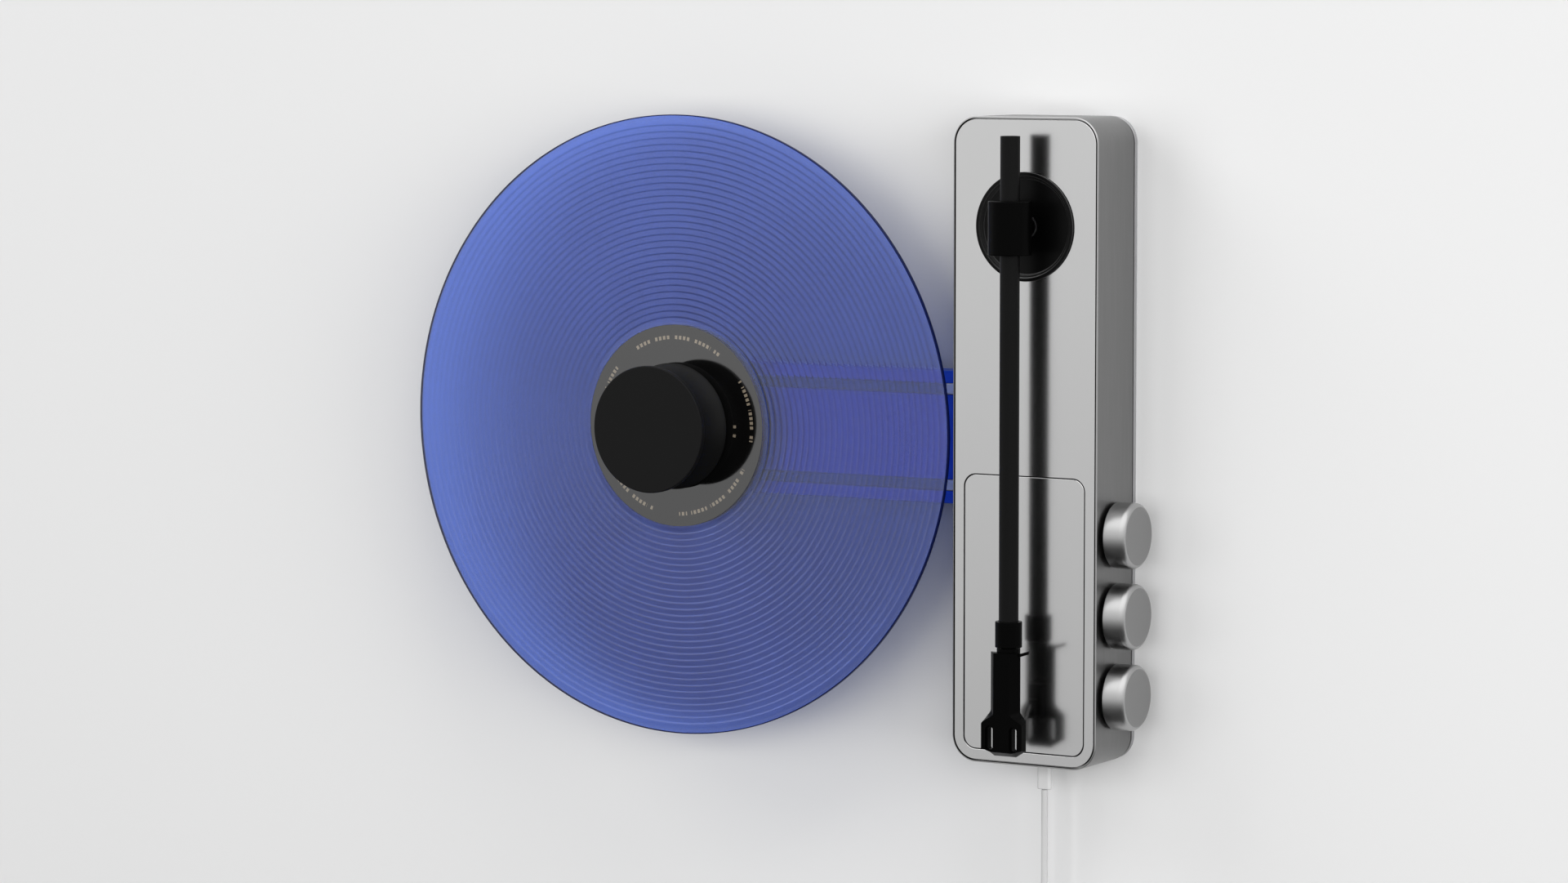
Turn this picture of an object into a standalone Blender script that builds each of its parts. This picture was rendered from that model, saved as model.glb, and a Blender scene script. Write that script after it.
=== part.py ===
"""Wall turntable: an upright control tower, a flat arm that carries the platter and record, and a tonearm.

All lengths are in metres. The world has +Z up, the wall is the plane Y = 0 and the front faces -Y.
The origin is the centre of the back of the wall plate.

Every piece is modelled in the front frame, whose plane is the front of the tower: x to the right,
y up and z out towards the viewer. One empty turns that frame into the world.
"""
import math

import bmesh
import bpy
import numpy as np
from mathutils import Matrix, Vector

# Gap between pieces that rest on each other, and how far a cutter runs past what it cuts
SEAT = 0.0003
OVERRUN = 0.0020

# Sides of round pieces, by size, and steps in a rounded corner
LARGE_SIDES = 72
SIDES = 32
INNER_SIDES = 24
SMALL_SIDES = 16
TINY_SIDES = 12
CORNER_STEPS = 5
SMALL_CORNER_STEPS = 3

# Record, which sets the height of the tower and where the platter stands
RECORD_RADIUS = 0.1508
RECORD_THICKNESS = 0.0024
RECORD_OUT = 0.0015
RECORD_EDGE = 0.0005
RECORD_BORE = 0.0038
RECORD_TO_TOWER = 0.0017
TOWER_PAST_RECORD = 0.0012

# Tower
TOWER_WIDTH = 0.0760
TOWER_CORNER = 0.0125
SHELL_DEPTH = 0.0370
SHELL_WALL = 0.0020
SHELL_FLOOR = 0.0020
SHELL_LIP = 0.0009
LIP_CHAMFER = 0.0007
BACK_CHAMFER = 0.0005
PLATE_THICKNESS = 0.0020
PLATE_GAP = 0.0004
PLATE_BEVEL = 0.00015

# Wall plate, which the shell stands off from by a shadow gap
WALL_PLATE_THICKNESS = 0.0026
WALL_PLATE_INSET = 0.0003
SHADOW_GAP = 0.0015
PAD_SIDE_MARGIN = 0.0100
PAD_END_MARGIN = 0.0170
PAD_CORNER = 0.0080
WALL_HOLE_RADIUS = 0.0024
WALL_HOLE_FROM_SIDE = 0.0180
WALL_HOLE_FROM_END = 0.0520

# Screws from inside the shell into the wall plate
BACK_SCREW_FROM_END = 0.0270
BACK_SCREW_RADIUS = 0.0015
BACK_SCREW_HEAD_RADIUS = 0.0030
BACK_SCREW_HEAD = 0.0020
BACK_SCREW_BITE = 0.0028

# Bosses that stand on the shell's floor: four reach the face plate, four carry the main board
PILLAR_RADIUS = 0.0030
PILLAR_FROM_SIDE = 0.0090
PILLAR_FROM_END = 0.0090
PILLAR_ABOVE_ARM = 0.0104

# Service hatch and the frame behind it
HATCH_MARGIN = 0.00485
HATCH_OPENING_HEIGHT = 0.1305
HATCH_GAP = 0.0005
FRAME_BORDER = 0.0027
FRAME_LEDGE = 0.0030
FRAME_THICKNESS = 0.0020

# Main board and what stands on it
BOARD_ABOVE_FLOOR = 0.0097
BOARD_THICKNESS = 0.0016
BOARD_LEFT_MARGIN = 0.0070
BOARD_RIGHT_MARGIN = 0.0130
BOARD_ABOVE_BOTTOM = 0.0060
BOARD_BELOW_ARM = 0.0014
BOARD_CORNER = 0.0020
STANDOFF_RADIUS = 0.0025
STANDOFF_INSET = 0.0060
CAPACITOR_RADIUS = 0.0040
CAPACITOR_HEIGHT = 0.0120
CAPACITOR_PITCH = 0.0150
CAPACITOR_FROM_EDGE = 0.0130
CAPACITOR_COUNT = 3
CHIP_SIZE = 0.0140
CHIP_CORNER = 0.0010
CHIP_THICKNESS = 0.0012
CHIP_FROM_EDGE = 0.0190

# Power socket, plug and cord
SOCKET_WIDTH = 0.0090
SOCKET_DEPTH = 0.0060
SOCKET_HEIGHT = 0.0090
SOCKET_CORNER = 0.0008
PLUG_WIDTH = 0.0070
PLUG_DEPTH = 0.0034
PLUG_CORNER = 0.0012
PLUG_LENGTH = 0.0137
PLUG_CHAMFER = 0.0004
TIP_WIDTH = 0.0052
TIP_DEPTH = 0.0022
TIP_CORNER = 0.0008
TIP_REACH = 0.0065
CORD_DIAMETER = 0.0031
COIL_MEAN_RADIUS = 0.0171
COIL_SPACING = 0.0036
COIL_LAYERS = 4
COIL_WHOLE_TURNS = 10
POINTS_PER_LOOP = 24
TIE_WIDTH = 0.0050
TIE_WALL = 0.0010
TIE_SLACK = 0.0006
TIE_CORNER = 0.0020
FAR_NECK_RADIUS = 0.0017
FAR_NECK_LENGTH = 0.0190
FAR_NECK_FOOT_RADIUS = 0.0026
FAR_BODY_WIDTH = 0.0130
FAR_BODY_DEPTH = 0.0074
FAR_BODY_LENGTH = 0.0180
FAR_BODY_CORNER = 0.0020
FAR_TIP_WIDTH = 0.0120
FAR_TIP_DEPTH = 0.0045
FAR_TIP_CORNER = 0.0005
FAR_TIP_LENGTH = 0.0125
FAR_CHAMFER = 0.0008

# Rotary controls and knobs on the right side
LOWER_KNOB_ABOVE_BOTTOM = 0.0334
KNOB_PITCH = 0.0380
KNOB_DEPTH = -0.0185
KNOB_RADIUS = 0.0155
KNOB_LENGTH = 0.0112
KNOB_FILLET = 0.0014
KNOB_BACK_CHAMFER = 0.0003
KNOB_GAP = 0.0016
KNOB_HOLLOW_RADIUS = 0.0135
KNOB_HUB_RADIUS = 0.0065
KNOB_HOLLOW_DEPTH = 0.0060
KNOB_BORE_DEPTH = 0.0080
CONTROL_RADIUS = 0.0080
CONTROL_LENGTH = 0.0067
CONTROL_WALL = 0.0015
BUSH_RADIUS = 0.0044
BUSH_PROUD = 0.0009
SHAFT_RADIUS = 0.0030

# Arm that carries the platter
ARM_RIM = 0.0073
ARM_FRONT = -0.0110
ARM_THICKNESS = 0.0120
ARM_INSIDE_TOWER = 0.0180
ARM_BEVEL = 0.0004
RAIL_EDGE = 0.0062
RAIL_HEIGHT = 0.00515
RAIL_THICKNESS = 0.0021
RAIL_PROUD = 0.0004
RAIL_FROM_SPINDLE = 0.0245
RAIL_BEVEL = 0.0005
LEAD_DIAMETER = 0.0024
LEAD_CHANNEL_WIDTH = 0.0060
LEAD_CHANNEL_DEPTH = 0.0050
ROOT_WIDTH = 0.0220
ROOT_FROM_ARM_EDGE = 0.0056
ROOT_CORNER = 0.0020
ROOT_FROM_SIDE = 0.0035

# Motor housing let into the arm's round end
HOUSING_FLANGE_REACH = 0.0057
HOUSING_FLANGE_OUT = -0.0099
HOUSING_WALL = 0.0020
HOUSING_TO_ROTOR = 0.0006
HOUSING_BACK = -0.0300
WEB_FRONT = -0.0240
WEB_THICKNESS = 0.0020
BEARING_TUBE_OUT = -0.0130
BEARING_TUBE_RADIUS = 0.0076
HUB_COVER_THICKNESS = 0.0015
BEARING_RADIUS = 0.0050
BEARING_BORE = 0.0038
BEARING_LENGTH = 0.0040

# Stator and rotor
TOOTH_COUNT = 6
AIR_GAP = 0.0007
TOOTH_TIP_DEPTH = 0.0020
STATOR_CORE_RADIUS = 0.0105
STATOR_OUT = -0.0150
STATOR_LENGTH = 0.0060
TOOTH_HALF_WIDTH = 0.0014
TOOTH_TIP_SHARE = 0.80
WINDING_FROM_CORE = 0.0007
WINDING_FROM_TIP = 0.0004
WINDING_BUILD = 0.0010
ROTOR_RADIUS = 0.0217
ROTOR_WALL = 0.0015
ROTOR_FRONT = -0.0083
ROTOR_WEB = 0.0019
ROTOR_HUB_RADIUS = 0.0060
ROTOR_HUB_LENGTH = 0.0039
ROTOR_BACK = -0.0225
MAGNET_WALL = 0.0017
MAGNET_FRONT = -0.0110
MAGNET_BACK = -0.0220

# Labels, platter and spindle, counted out from the tower's front
LABEL_RADIUS = 0.0501
LABEL_THICKNESS = 0.0002
MAT_RADIUS = 0.0500
MAT_THICKNESS = 0.0005
PLATTER_RADIUS = 0.0530
PLATTER_THICKNESS = 0.0060
PLATTER_EDGE = 0.0008
SPINDLE_RADIUS = 0.0035
SPINDLE_TIP_OUT = 0.0085
SPINDLE_TIP_CHAMFER = 0.0012
SPINDLE_BACK = -0.0285
CLIP_GROOVE_RADIUS = 0.0027
CLIP_RADIUS = 0.0052
CLIP_THICKNESS = 0.0006

# Record clamp
CLAMP_RADIUS = 0.0307
CLAMP_HEIGHT = 0.0256
CLAMP_BASE = 0.0022
CLAMP_CAP = 0.0026
CLAMP_WAIST_RADIUS = 0.0285
CLAMP_EDGE = 0.0005
CLAMP_BASE_GAP = 0.0006
CLAMP_PAD_RADIUS = 0.0280
CLAMP_PAD_BORE = 0.0110
CLAMP_PAD_THICKNESS = 0.0008
CLAMP_BUSH_RADIUS = 0.0070
CLAMP_BUSH_LENGTH = 0.0080

# Tonearm mounting in the face plate
PIVOT_BELOW_TOP = 0.0510
FLANGE_RADIUS = 0.0255
FLANGE_BODY_RADIUS = 0.0233
FLANGE_PROUD = 0.0010
FLANGE_RIM_EDGE = 0.0003
FLANGE_RIM_INNER = 0.0240
FLANGE_STEP_RADIUS = 0.0235
FLANGE_STEP_OUT = 0.0005
FLANGE_BEVEL_RADIUS = 0.0229
FLANGE_DISH_RADIUS = 0.0222
FLANGE_DISH_OUT = -0.0010
FLANGE_DISH_FLOOR = 0.0009
FLANGE_MOUTH_RADIUS = 0.0056
FLANGE_BACK = -0.0060
RING_NUT_RADIUS = 0.0275
RING_NUT_THICKNESS = 0.0030
ARM_BEARING_RADIUS = 0.0080
ARM_BEARING_LENGTH = 0.0036
POST_RADIUS = 0.0040
POST_FOOT_RADIUS = 0.0050
POST_FOOT_OUT = 0.0034
POST_BACK = -0.0095
TONGUE_WIDTH = 0.0056
TONGUE_HEIGHT = 0.0068
TONGUE_OUT = 0.0089
POST_NUT_RADIUS = 0.0070
POST_NUT_THICKNESS = 0.0025
TILT_PIN_RADIUS = 0.0015
TILT_PIN_LENGTH = 0.0132
TILT_PIN_BELOW_TUBE = 0.0076
SLEEVE_SLOT_SLACK = 0.0008

# Tonearm
TUBE_OUT = 0.0149
TUBE_RADIUS = 0.0046
TUBE_WALL = 0.0009
TUBE_TAIL = 0.0425
TUBE_END_ABOVE_NOSE = 0.0522
SLEEVE_RADIUS = 0.0102
SLEEVE_LENGTH = 0.0250
SLEEVE_EDGE = 0.0004
SLUG_LENGTH = 0.0235
SLUG_RECESS = 0.0002
COLLAR_RADIUS = 0.0063
COLLAR_TOP_ABOVE_NOSE = 0.0642
COLLAR_LENGTH = 0.0134
COLLAR_EDGE = 0.0003

# Headshell and cartridge, with heights counted up from the nose
NOSE_ABOVE_BOTTOM = 0.0058
STEM_TOP = 0.0496
NECK_RADIUS = 0.0057
NECK_TOP = 0.0505
NECK_LENGTH = 0.0015
SOCKET_TUBE_RADIUS = 0.0050
SOCKET_TUBE_END = 0.0332
SOCKET_TUBE_EDGE = 0.0010
SPIGOT_TOP = 0.0622
HEAD_FRONT = 0.0219
HEAD_BACK = 0.0175
STEM_HALF_WIDTH = 0.0077
STEM_CHAMFER = 0.0037
HEAD_HALF_WIDTH = 0.0107
FLARE_TOP = 0.0194
FLARE_END = 0.0150
NOSE_SIDE_END = 0.0026
NOSE_HALF_WIDTH = 0.0063
NOSE_SLOPE = 0.0020
FLARE_STEPS = 4
HEAD_SLOT_X = 0.00635
HEAD_SLOT_WIDTH = 0.0034
HEAD_SLOT_TOP = 0.0148
HEAD_SLOT_END = 0.0038
FINGER_REACH = 0.0048
FINGER_HEIGHT = 0.0016
FINGER_THICKNESS = 0.0020
FINGER_TIP_SHARE = 0.55
FINGER_UP = 0.0480
FINGER_OUT = 0.0190
CARTRIDGE_HALF_WIDTH = 0.0038
CARTRIDGE_TOP = 0.0317
CARTRIDGE_END = 0.0152
CARTRIDGE_BACK = 0.0105
HOLDER_HALF_WIDTH = 0.0020
HOLDER_TOP = 0.0247
HOLDER_END = 0.0172
HOLDER_BACK = 0.0078
STYLUS_HALF_WIDTH = 0.0004
STYLUS_ROOT_UP = 0.0222
STYLUS_UP = 0.0167
STYLUS_BEND_OUT = 0.0034
STYLUS_TIP_OUT = 0.0020
STYLUS_TIP_HALF_WIDTH = 0.0001

# Cord from the plug to the coil: straight down, a bend of an eighth of a turn, and straight on
CORD_DROP = 0.0467
CORD_BEND_RADIUS = 0.0130
CORD_BEND_STEPS = 3
CORD_LEAD_IN = 0.0141

# Motor lead: points beside the root block, as x from the block, y, and share of the way back to the board
LEAD_OUT = -0.0206
LEAD_TAIL = (
    (0.0005, -0.0020, 0.00), (0.0055, -0.0080, 0.11), (0.0065, -0.0160, 0.58),
    (0.0065, -0.0220, 0.91), (0.0065, -0.0260, 1.00),
)

# Places that several pieces share
TOWER_HEIGHT = 2 * (RECORD_RADIUS + TOWER_PAST_RECORD)
TOWER_TOP = TOWER_HEIGHT / 2
TOWER_BOTTOM = -TOWER_TOP
TOWER_RIGHT = TOWER_WIDTH / 2
TOWER_LEFT = -TOWER_RIGHT
SPINDLE_X = TOWER_LEFT - RECORD_TO_TOWER - RECORD_RADIUS
FRONT_Y = -(WALL_PLATE_THICKNESS + SHADOW_GAP + SHELL_DEPTH)
FLOOR_OUT = -(SHELL_DEPTH - SHELL_FLOOR)
BOARD_OUT = FLOOR_OUT + BOARD_ABOVE_FLOOR
SOCKET_OUT = BOARD_OUT + SEAT + SOCKET_DEPTH / 2
BACK_SCREW_UP = TOWER_TOP - BACK_SCREW_FROM_END
PLATE_INSET = SHELL_LIP + PLATE_GAP
PLATE_BACK = -PLATE_THICKNESS
HATCH_OPENING_WIDTH = TOWER_WIDTH - 2 * (PLATE_INSET + HATCH_MARGIN)
HATCH_OPENING_CORNER = TOWER_CORNER - PLATE_INSET - HATCH_MARGIN
HATCH_UP = TOWER_BOTTOM + PLATE_INSET + HATCH_MARGIN + HATCH_OPENING_HEIGHT / 2
HOUSING_RADIUS = ROTOR_RADIUS + HOUSING_TO_ROTOR + HOUSING_WALL
HOUSING_FLANGE_RADIUS = HOUSING_RADIUS + HOUSING_FLANGE_REACH
MAGNET_RADIUS = ROTOR_RADIUS - ROTOR_WALL - SEAT
STATOR_RADIUS = MAGNET_RADIUS - MAGNET_WALL - AIR_GAP
STATOR_NECK_RADIUS = STATOR_RADIUS - TOOTH_TIP_DEPTH
WINDING_START = STATOR_CORE_RADIUS + WINDING_FROM_CORE
WINDING_END = STATOR_NECK_RADIUS - WINDING_FROM_TIP
ARM_HEIGHT = 2 * (HOUSING_RADIUS + ARM_RIM)
ROOT_HEIGHT = ARM_HEIGHT - 2 * ROOT_FROM_ARM_EDGE
ARM_BACK = ARM_FRONT - ARM_THICKNESS
ARM_END_X = TOWER_LEFT + ARM_INSIDE_TOWER
RAIL_START_X = SPINDLE_X + RAIL_FROM_SPINDLE
RAIL_UP = ARM_HEIGHT / 2 - RAIL_EDGE - RAIL_HEIGHT / 2
PILLAR_X = TOWER_RIGHT - PILLAR_FROM_SIDE
PILLAR_UPS = (TOWER_TOP - PILLAR_FROM_END, ARM_HEIGHT / 2 + PILLAR_ABOVE_ARM)
BOARD_TOP = -ARM_HEIGHT / 2 - BOARD_BELOW_ARM
BOARD_HEIGHT = BOARD_TOP - TOWER_BOTTOM - BOARD_ABOVE_BOTTOM
BOARD_UP = BOARD_TOP - BOARD_HEIGHT / 2
BOARD_WIDTH = TOWER_WIDTH - BOARD_LEFT_MARGIN - BOARD_RIGHT_MARGIN
BOARD_X = (BOARD_LEFT_MARGIN - BOARD_RIGHT_MARGIN) / 2
KNOB_UPS = tuple(TOWER_BOTTOM + LOWER_KNOB_ABOVE_BOTTOM + KNOB_PITCH * step for step in (2, 1, 0))
RECORD_BACK = RECORD_OUT - RECORD_THICKNESS
MAT_FRONT = RECORD_BACK - SEAT
PLATTER_FRONT = MAT_FRONT - MAT_THICKNESS - SEAT
PIVOT_UP = TOWER_TOP - PIVOT_BELOW_TOP
TILT_OUT = TUBE_OUT - TILT_PIN_BELOW_TUBE
NOSE_UP = TOWER_BOTTOM + NOSE_ABOVE_BOTTOM
COLLAR_TOP = NOSE_UP + COLLAR_TOP_ABOVE_NOSE

ALONG_UP = Matrix.Rotation(-math.pi / 2, 4, "X")
ALONG_RIGHT = Matrix.Rotation(math.pi / 2, 4, "Y")


class Look:
    """Colour, roughness and metallic value of a finish."""

    def __init__(self, colour, roughness, metallic=0.0, alpha=1.0):
        self.colour = colour
        self.roughness = roughness
        self.metallic = metallic
        self.alpha = alpha


SATIN_ALUMINIUM = Look((0.56, 0.56, 0.55), 0.32, 1.0)
POLISHED_PLATE = Look((0.66, 0.66, 0.65), 0.18, 1.0)
BLASTED_ALUMINIUM = Look((0.50, 0.51, 0.51), 0.38, 1.0)
STEEL = Look((0.45, 0.45, 0.46), 0.30, 1.0)
BLUE_PAINT = Look((0.020, 0.075, 0.430), 0.42)
BLUE_VINYL = Look((0.060, 0.125, 0.520), 0.22, 0.0, 0.82)
MATT_BLACK = Look((0.010, 0.010, 0.010), 0.55)
GLOSS_BLACK = Look((0.006, 0.006, 0.006), 0.12)
BLACK_ALUMINIUM = Look((0.012, 0.012, 0.013), 0.35, 0.6)
RUBBER = Look((0.030, 0.030, 0.032), 0.80)
GREY_LABEL = Look((0.085, 0.080, 0.080), 0.28)
BRASS = Look((0.60, 0.45, 0.20), 0.30, 1.0)
COPPER = Look((0.62, 0.28, 0.14), 0.35, 1.0)
CORE_STEEL = Look((0.22, 0.22, 0.24), 0.45, 1.0)
MAGNET_GREY = Look((0.10, 0.10, 0.11), 0.50, 0.4)
BOARD_GREEN = Look((0.020, 0.120, 0.060), 0.45)
PALE_PLASTIC = Look((0.72, 0.72, 0.72), 0.45)


class Body:
    """An empty on a joint's axis, and the pieces that move with it."""

    def __init__(self, name, at=(0.0, 0.0, 0.0), parent=None):
        self.at = Vector(at)
        self.empty = bpy.data.objects.new(name, None)
        bpy.context.scene.collection.objects.link(self.empty)
        if parent:
            self.empty.parent = parent.empty
            self.empty.location = self.at - parent.at


def clear_scene():
    for old in list(bpy.data.objects):
        bpy.data.objects.remove(old, do_unlink=True)


def rounded(width, height, radius, steps=SMALL_CORNER_STEPS):
    """Points of a rectangle with round corners, centred on zero and counted anticlockwise."""
    points = []
    for quarter, (side_x, side_y) in enumerate(((1, 1), (-1, 1), (-1, -1), (1, -1))):
        centre_x = side_x * (width / 2 - radius)
        centre_y = side_y * (height / 2 - radius)
        for step in range(steps + 1):
            angle = (quarter + step / steps) * math.pi / 2
            points.append((centre_x + radius * math.cos(angle), centre_y + radius * math.sin(angle)))
    return points


def circle(radius, count):
    return [(radius * math.cos(2 * math.pi * i / count), radius * math.sin(2 * math.pi * i / count))
            for i in range(count)]


def level(outline, out, x=0.0, up=0.0):
    """An outline laid in the plane at a given height out of the front."""
    return [(px + x, py + up, out) for px, py in outline]


def add_loft(mesh, rings, closed=False, transform=None):
    """Joins rings of equally many points by quads. Open lofts get a face over each end."""
    transform = transform or Matrix()
    rows = [[mesh.verts.new(transform @ Vector(point)) for point in ring] for ring in rings]
    pairs = list(zip(rows, rows[1:]))
    if closed:
        pairs.append((rows[-1], rows[0]))
    else:
        mesh.faces.new(rows[0])
        mesh.faces.new(rows[-1])
    for low, high in pairs:
        for i, j in zip(range(len(low)), [*range(1, len(low)), 0]):
            mesh.faces.new((low[i], low[j], high[j], high[i]))


def add_turned(mesh, profile, sides, closed=False, transform=None):
    """Turns a profile of (radius, height) points about z. A radius of zero becomes a pole."""
    transform = transform or Matrix()
    rows = []
    for radius, height in profile:
        ring = [(0.0, 0.0)] if radius == 0 else circle(radius, sides)
        rows.append([mesh.verts.new(transform @ Vector((x, y, height))) for x, y in ring])
    pairs = list(zip(rows, rows[1:]))
    if closed:
        pairs.append((rows[-1], rows[0]))
    for low, high in pairs:
        if len(low) == len(high) == 1:
            continue
        for i in range(sides):
            j = (i + 1) % sides
            corners = [low[i % len(low)], low[j % len(low)], high[j % len(high)], high[i % len(high)]]
            mesh.faces.new(list(dict.fromkeys(corners)))


def add_cylinder(mesh, radius, low, high, sides=SMALL_SIDES, at=(0.0, 0.0, 0.0), along=None):
    transform = Matrix.Translation(at) @ (along or Matrix())
    add_turned(mesh, ((0.0, low), (radius, low), (radius, high), (0.0, high)), sides, transform=transform)


def add_ring(mesh, outer, inner, low, high, sides=SIDES, at=(0.0, 0.0, 0.0), along=None):
    transform = Matrix.Translation(at) @ (along or Matrix())
    profile = ((outer, low), (outer, high), (inner, high), (inner, low))
    add_turned(mesh, profile, sides, closed=True, transform=transform)


def add_box(mesh, low, high):
    ring = ((low[0], low[1]), (high[0], low[1]), (high[0], high[1]), (low[0], high[1]))
    add_loft(mesh, [level(ring, low[2]), level(ring, high[2])])


def finish_mesh(name, mesh):
    bmesh.ops.recalc_face_normals(mesh, faces=mesh.faces)
    data = bpy.data.meshes.new(name)
    mesh.to_mesh(data)
    mesh.free()
    data.shade_smooth()
    data.set_sharp_from_angle(angle=math.radians(32))
    return data


def dress(thing, look):
    material = bpy.data.materials.new(thing.name + "_finish")
    material.use_nodes = True
    shader = material.node_tree.nodes["Principled BSDF"]
    shader.inputs["Base Color"].default_value = (*look.colour, 1.0)
    shader.inputs["Roughness"].default_value = look.roughness
    shader.inputs["Metallic"].default_value = look.metallic
    shader.inputs["Alpha"].default_value = look.alpha
    material.diffuse_color = (*look.colour, look.alpha)
    thing.data.materials.append(material)


def place(thing, body, at=(0.0, 0.0, 0.0), along=None):
    """Hangs an object on a body at a point of the front frame, turned so that its z lies as given."""
    bpy.context.scene.collection.objects.link(thing)
    thing.parent = body.empty
    thing.location = Vector(at) - body.at
    thing.rotation_euler = (along or Matrix()).to_euler()
    return thing


def make(name, mesh, look, body, at=(0.0, 0.0, 0.0), along=None):
    thing = bpy.data.objects.new(name, finish_mesh(name, mesh))
    dress(thing, look)
    return place(thing, body, at, along)


def combine(target, mesh, operation, body, at=(0.0, 0.0, 0.0), along=None):
    """Cuts a hidden tool out of an object, or joins it on."""
    count = sum(1 for modifier in target.modifiers)
    name = f"{target.name}_{operation.lower()}_{count + 1}"
    tool = place(bpy.data.objects.new(name, finish_mesh(name, mesh)), body, at, along)
    tool.hide_render = True
    tool.display_type = "WIRE"
    modifier = target.modifiers.new(operation.title(), "BOOLEAN")
    modifier.operation = operation
    modifier.object = tool
    modifier.solver = "EXACT"


def cut(target, mesh, body, at=(0.0, 0.0, 0.0), along=None):
    combine(target, mesh, "DIFFERENCE", body, at, along)


def join(target, mesh, body, at=(0.0, 0.0, 0.0), along=None):
    combine(target, mesh, "UNION", body, at, along)


def make_tube(name, points, diameter, look, body, resolution):
    """A round tube along points of the front frame, with closed ends."""
    curve = bpy.data.curves.new(name, "CURVE")
    curve.dimensions = "3D"
    curve.bevel_depth = diameter / 2
    curve.bevel_resolution = resolution
    curve.use_fill_caps = True
    spline = curve.splines.new("POLY")
    spline.points.add(len(points) - 1)
    for spot, point in zip(spline.points, points):
        spot.co = (*point, 1.0)
    thing = bpy.data.objects.new(name, curve)
    dress(thing, look)
    return place(thing, body, body.at)


def smooth_route(route, spacing):
    """Points at even spacing on a Catmull-Rom curve through a route's own points."""
    knots = np.array(route, float)
    knots = np.vstack((2 * knots[0] - knots[1], knots, 2 * knots[-1] - knots[-2]))
    share = np.linspace(0, 1, 24, endpoint=False)[:, None]
    fine = []
    for a, b, c, d in zip(knots, knots[1:], knots[2:], knots[3:]):
        fine.append(0.5 * (2 * b + (c - a) * share + (2 * a - 5 * b + 4 * c - d) * share ** 2
                           + (3 * b - a - 3 * c + d) * share ** 3))
    fine = np.vstack((*fine, knots[-2]))
    travelled = np.concatenate(([0], np.cumsum(np.linalg.norm(np.diff(fine, axis=0), axis=1))))
    stations = np.linspace(0, travelled[-1], max(2, round(travelled[-1] / spacing)) + 1)
    return np.column_stack([np.interp(stations, travelled, fine[:, axis]) for axis in range(3)])


def tower_outline(inset):
    return rounded(TOWER_WIDTH - 2 * inset, TOWER_HEIGHT - 2 * inset, TOWER_CORNER - inset, CORNER_STEPS)


def knob_places():
    return [(TOWER_RIGHT, up, KNOB_DEPTH) for up in KNOB_UPS]


def make_wall_plate(root):
    back = FRONT_Y
    front = back + WALL_PLATE_THICKNESS
    outline = tower_outline(WALL_PLATE_INSET)
    pad = rounded(TOWER_WIDTH - 2 * PAD_SIDE_MARGIN, TOWER_HEIGHT - 2 * PAD_END_MARGIN, PAD_CORNER,
                  CORNER_STEPS)
    mesh = bmesh.new()
    add_loft(mesh, [level(outline, back), level(outline, front), level(pad, front),
                    level(pad, -SHELL_DEPTH - SEAT)])
    plate = make("wall_plate", mesh, STEEL, root)
    holes = bmesh.new()
    for side_up in (-1, 1):
        for side_x in (-1, 1):
            wall_hole = (side_x * (TOWER_RIGHT - WALL_HOLE_FROM_SIDE),
                         side_up * (TOWER_TOP - WALL_HOLE_FROM_END), 0.0)
            add_cylinder(holes, WALL_HOLE_RADIUS, back - OVERRUN, -SHELL_DEPTH + OVERRUN, at=wall_hole)
        add_cylinder(holes, BACK_SCREW_RADIUS + SEAT, -SHELL_DEPTH - BACK_SCREW_BITE - 2 * SEAT,
                     -SHELL_DEPTH + OVERRUN, TINY_SIDES, at=(0.0, side_up * BACK_SCREW_UP, 0.0))
    cut(plate, holes, root)


def make_back_screws(root):
    head_under = FLOOR_OUT + SEAT
    tip = -SHELL_DEPTH - SEAT - BACK_SCREW_BITE
    profile = ((0.0, tip), (BACK_SCREW_RADIUS, tip), (BACK_SCREW_RADIUS, head_under),
               (BACK_SCREW_HEAD_RADIUS, head_under), (BACK_SCREW_HEAD_RADIUS, head_under + BACK_SCREW_HEAD),
               (0.0, head_under + BACK_SCREW_HEAD))
    for name, side in (("upper_back_screw", 1), ("lower_back_screw", -1)):
        mesh = bmesh.new()
        add_turned(mesh, profile, TINY_SIDES)
        make(name, mesh, STEEL, root, at=(0.0, side * BACK_SCREW_UP, 0.0))


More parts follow.
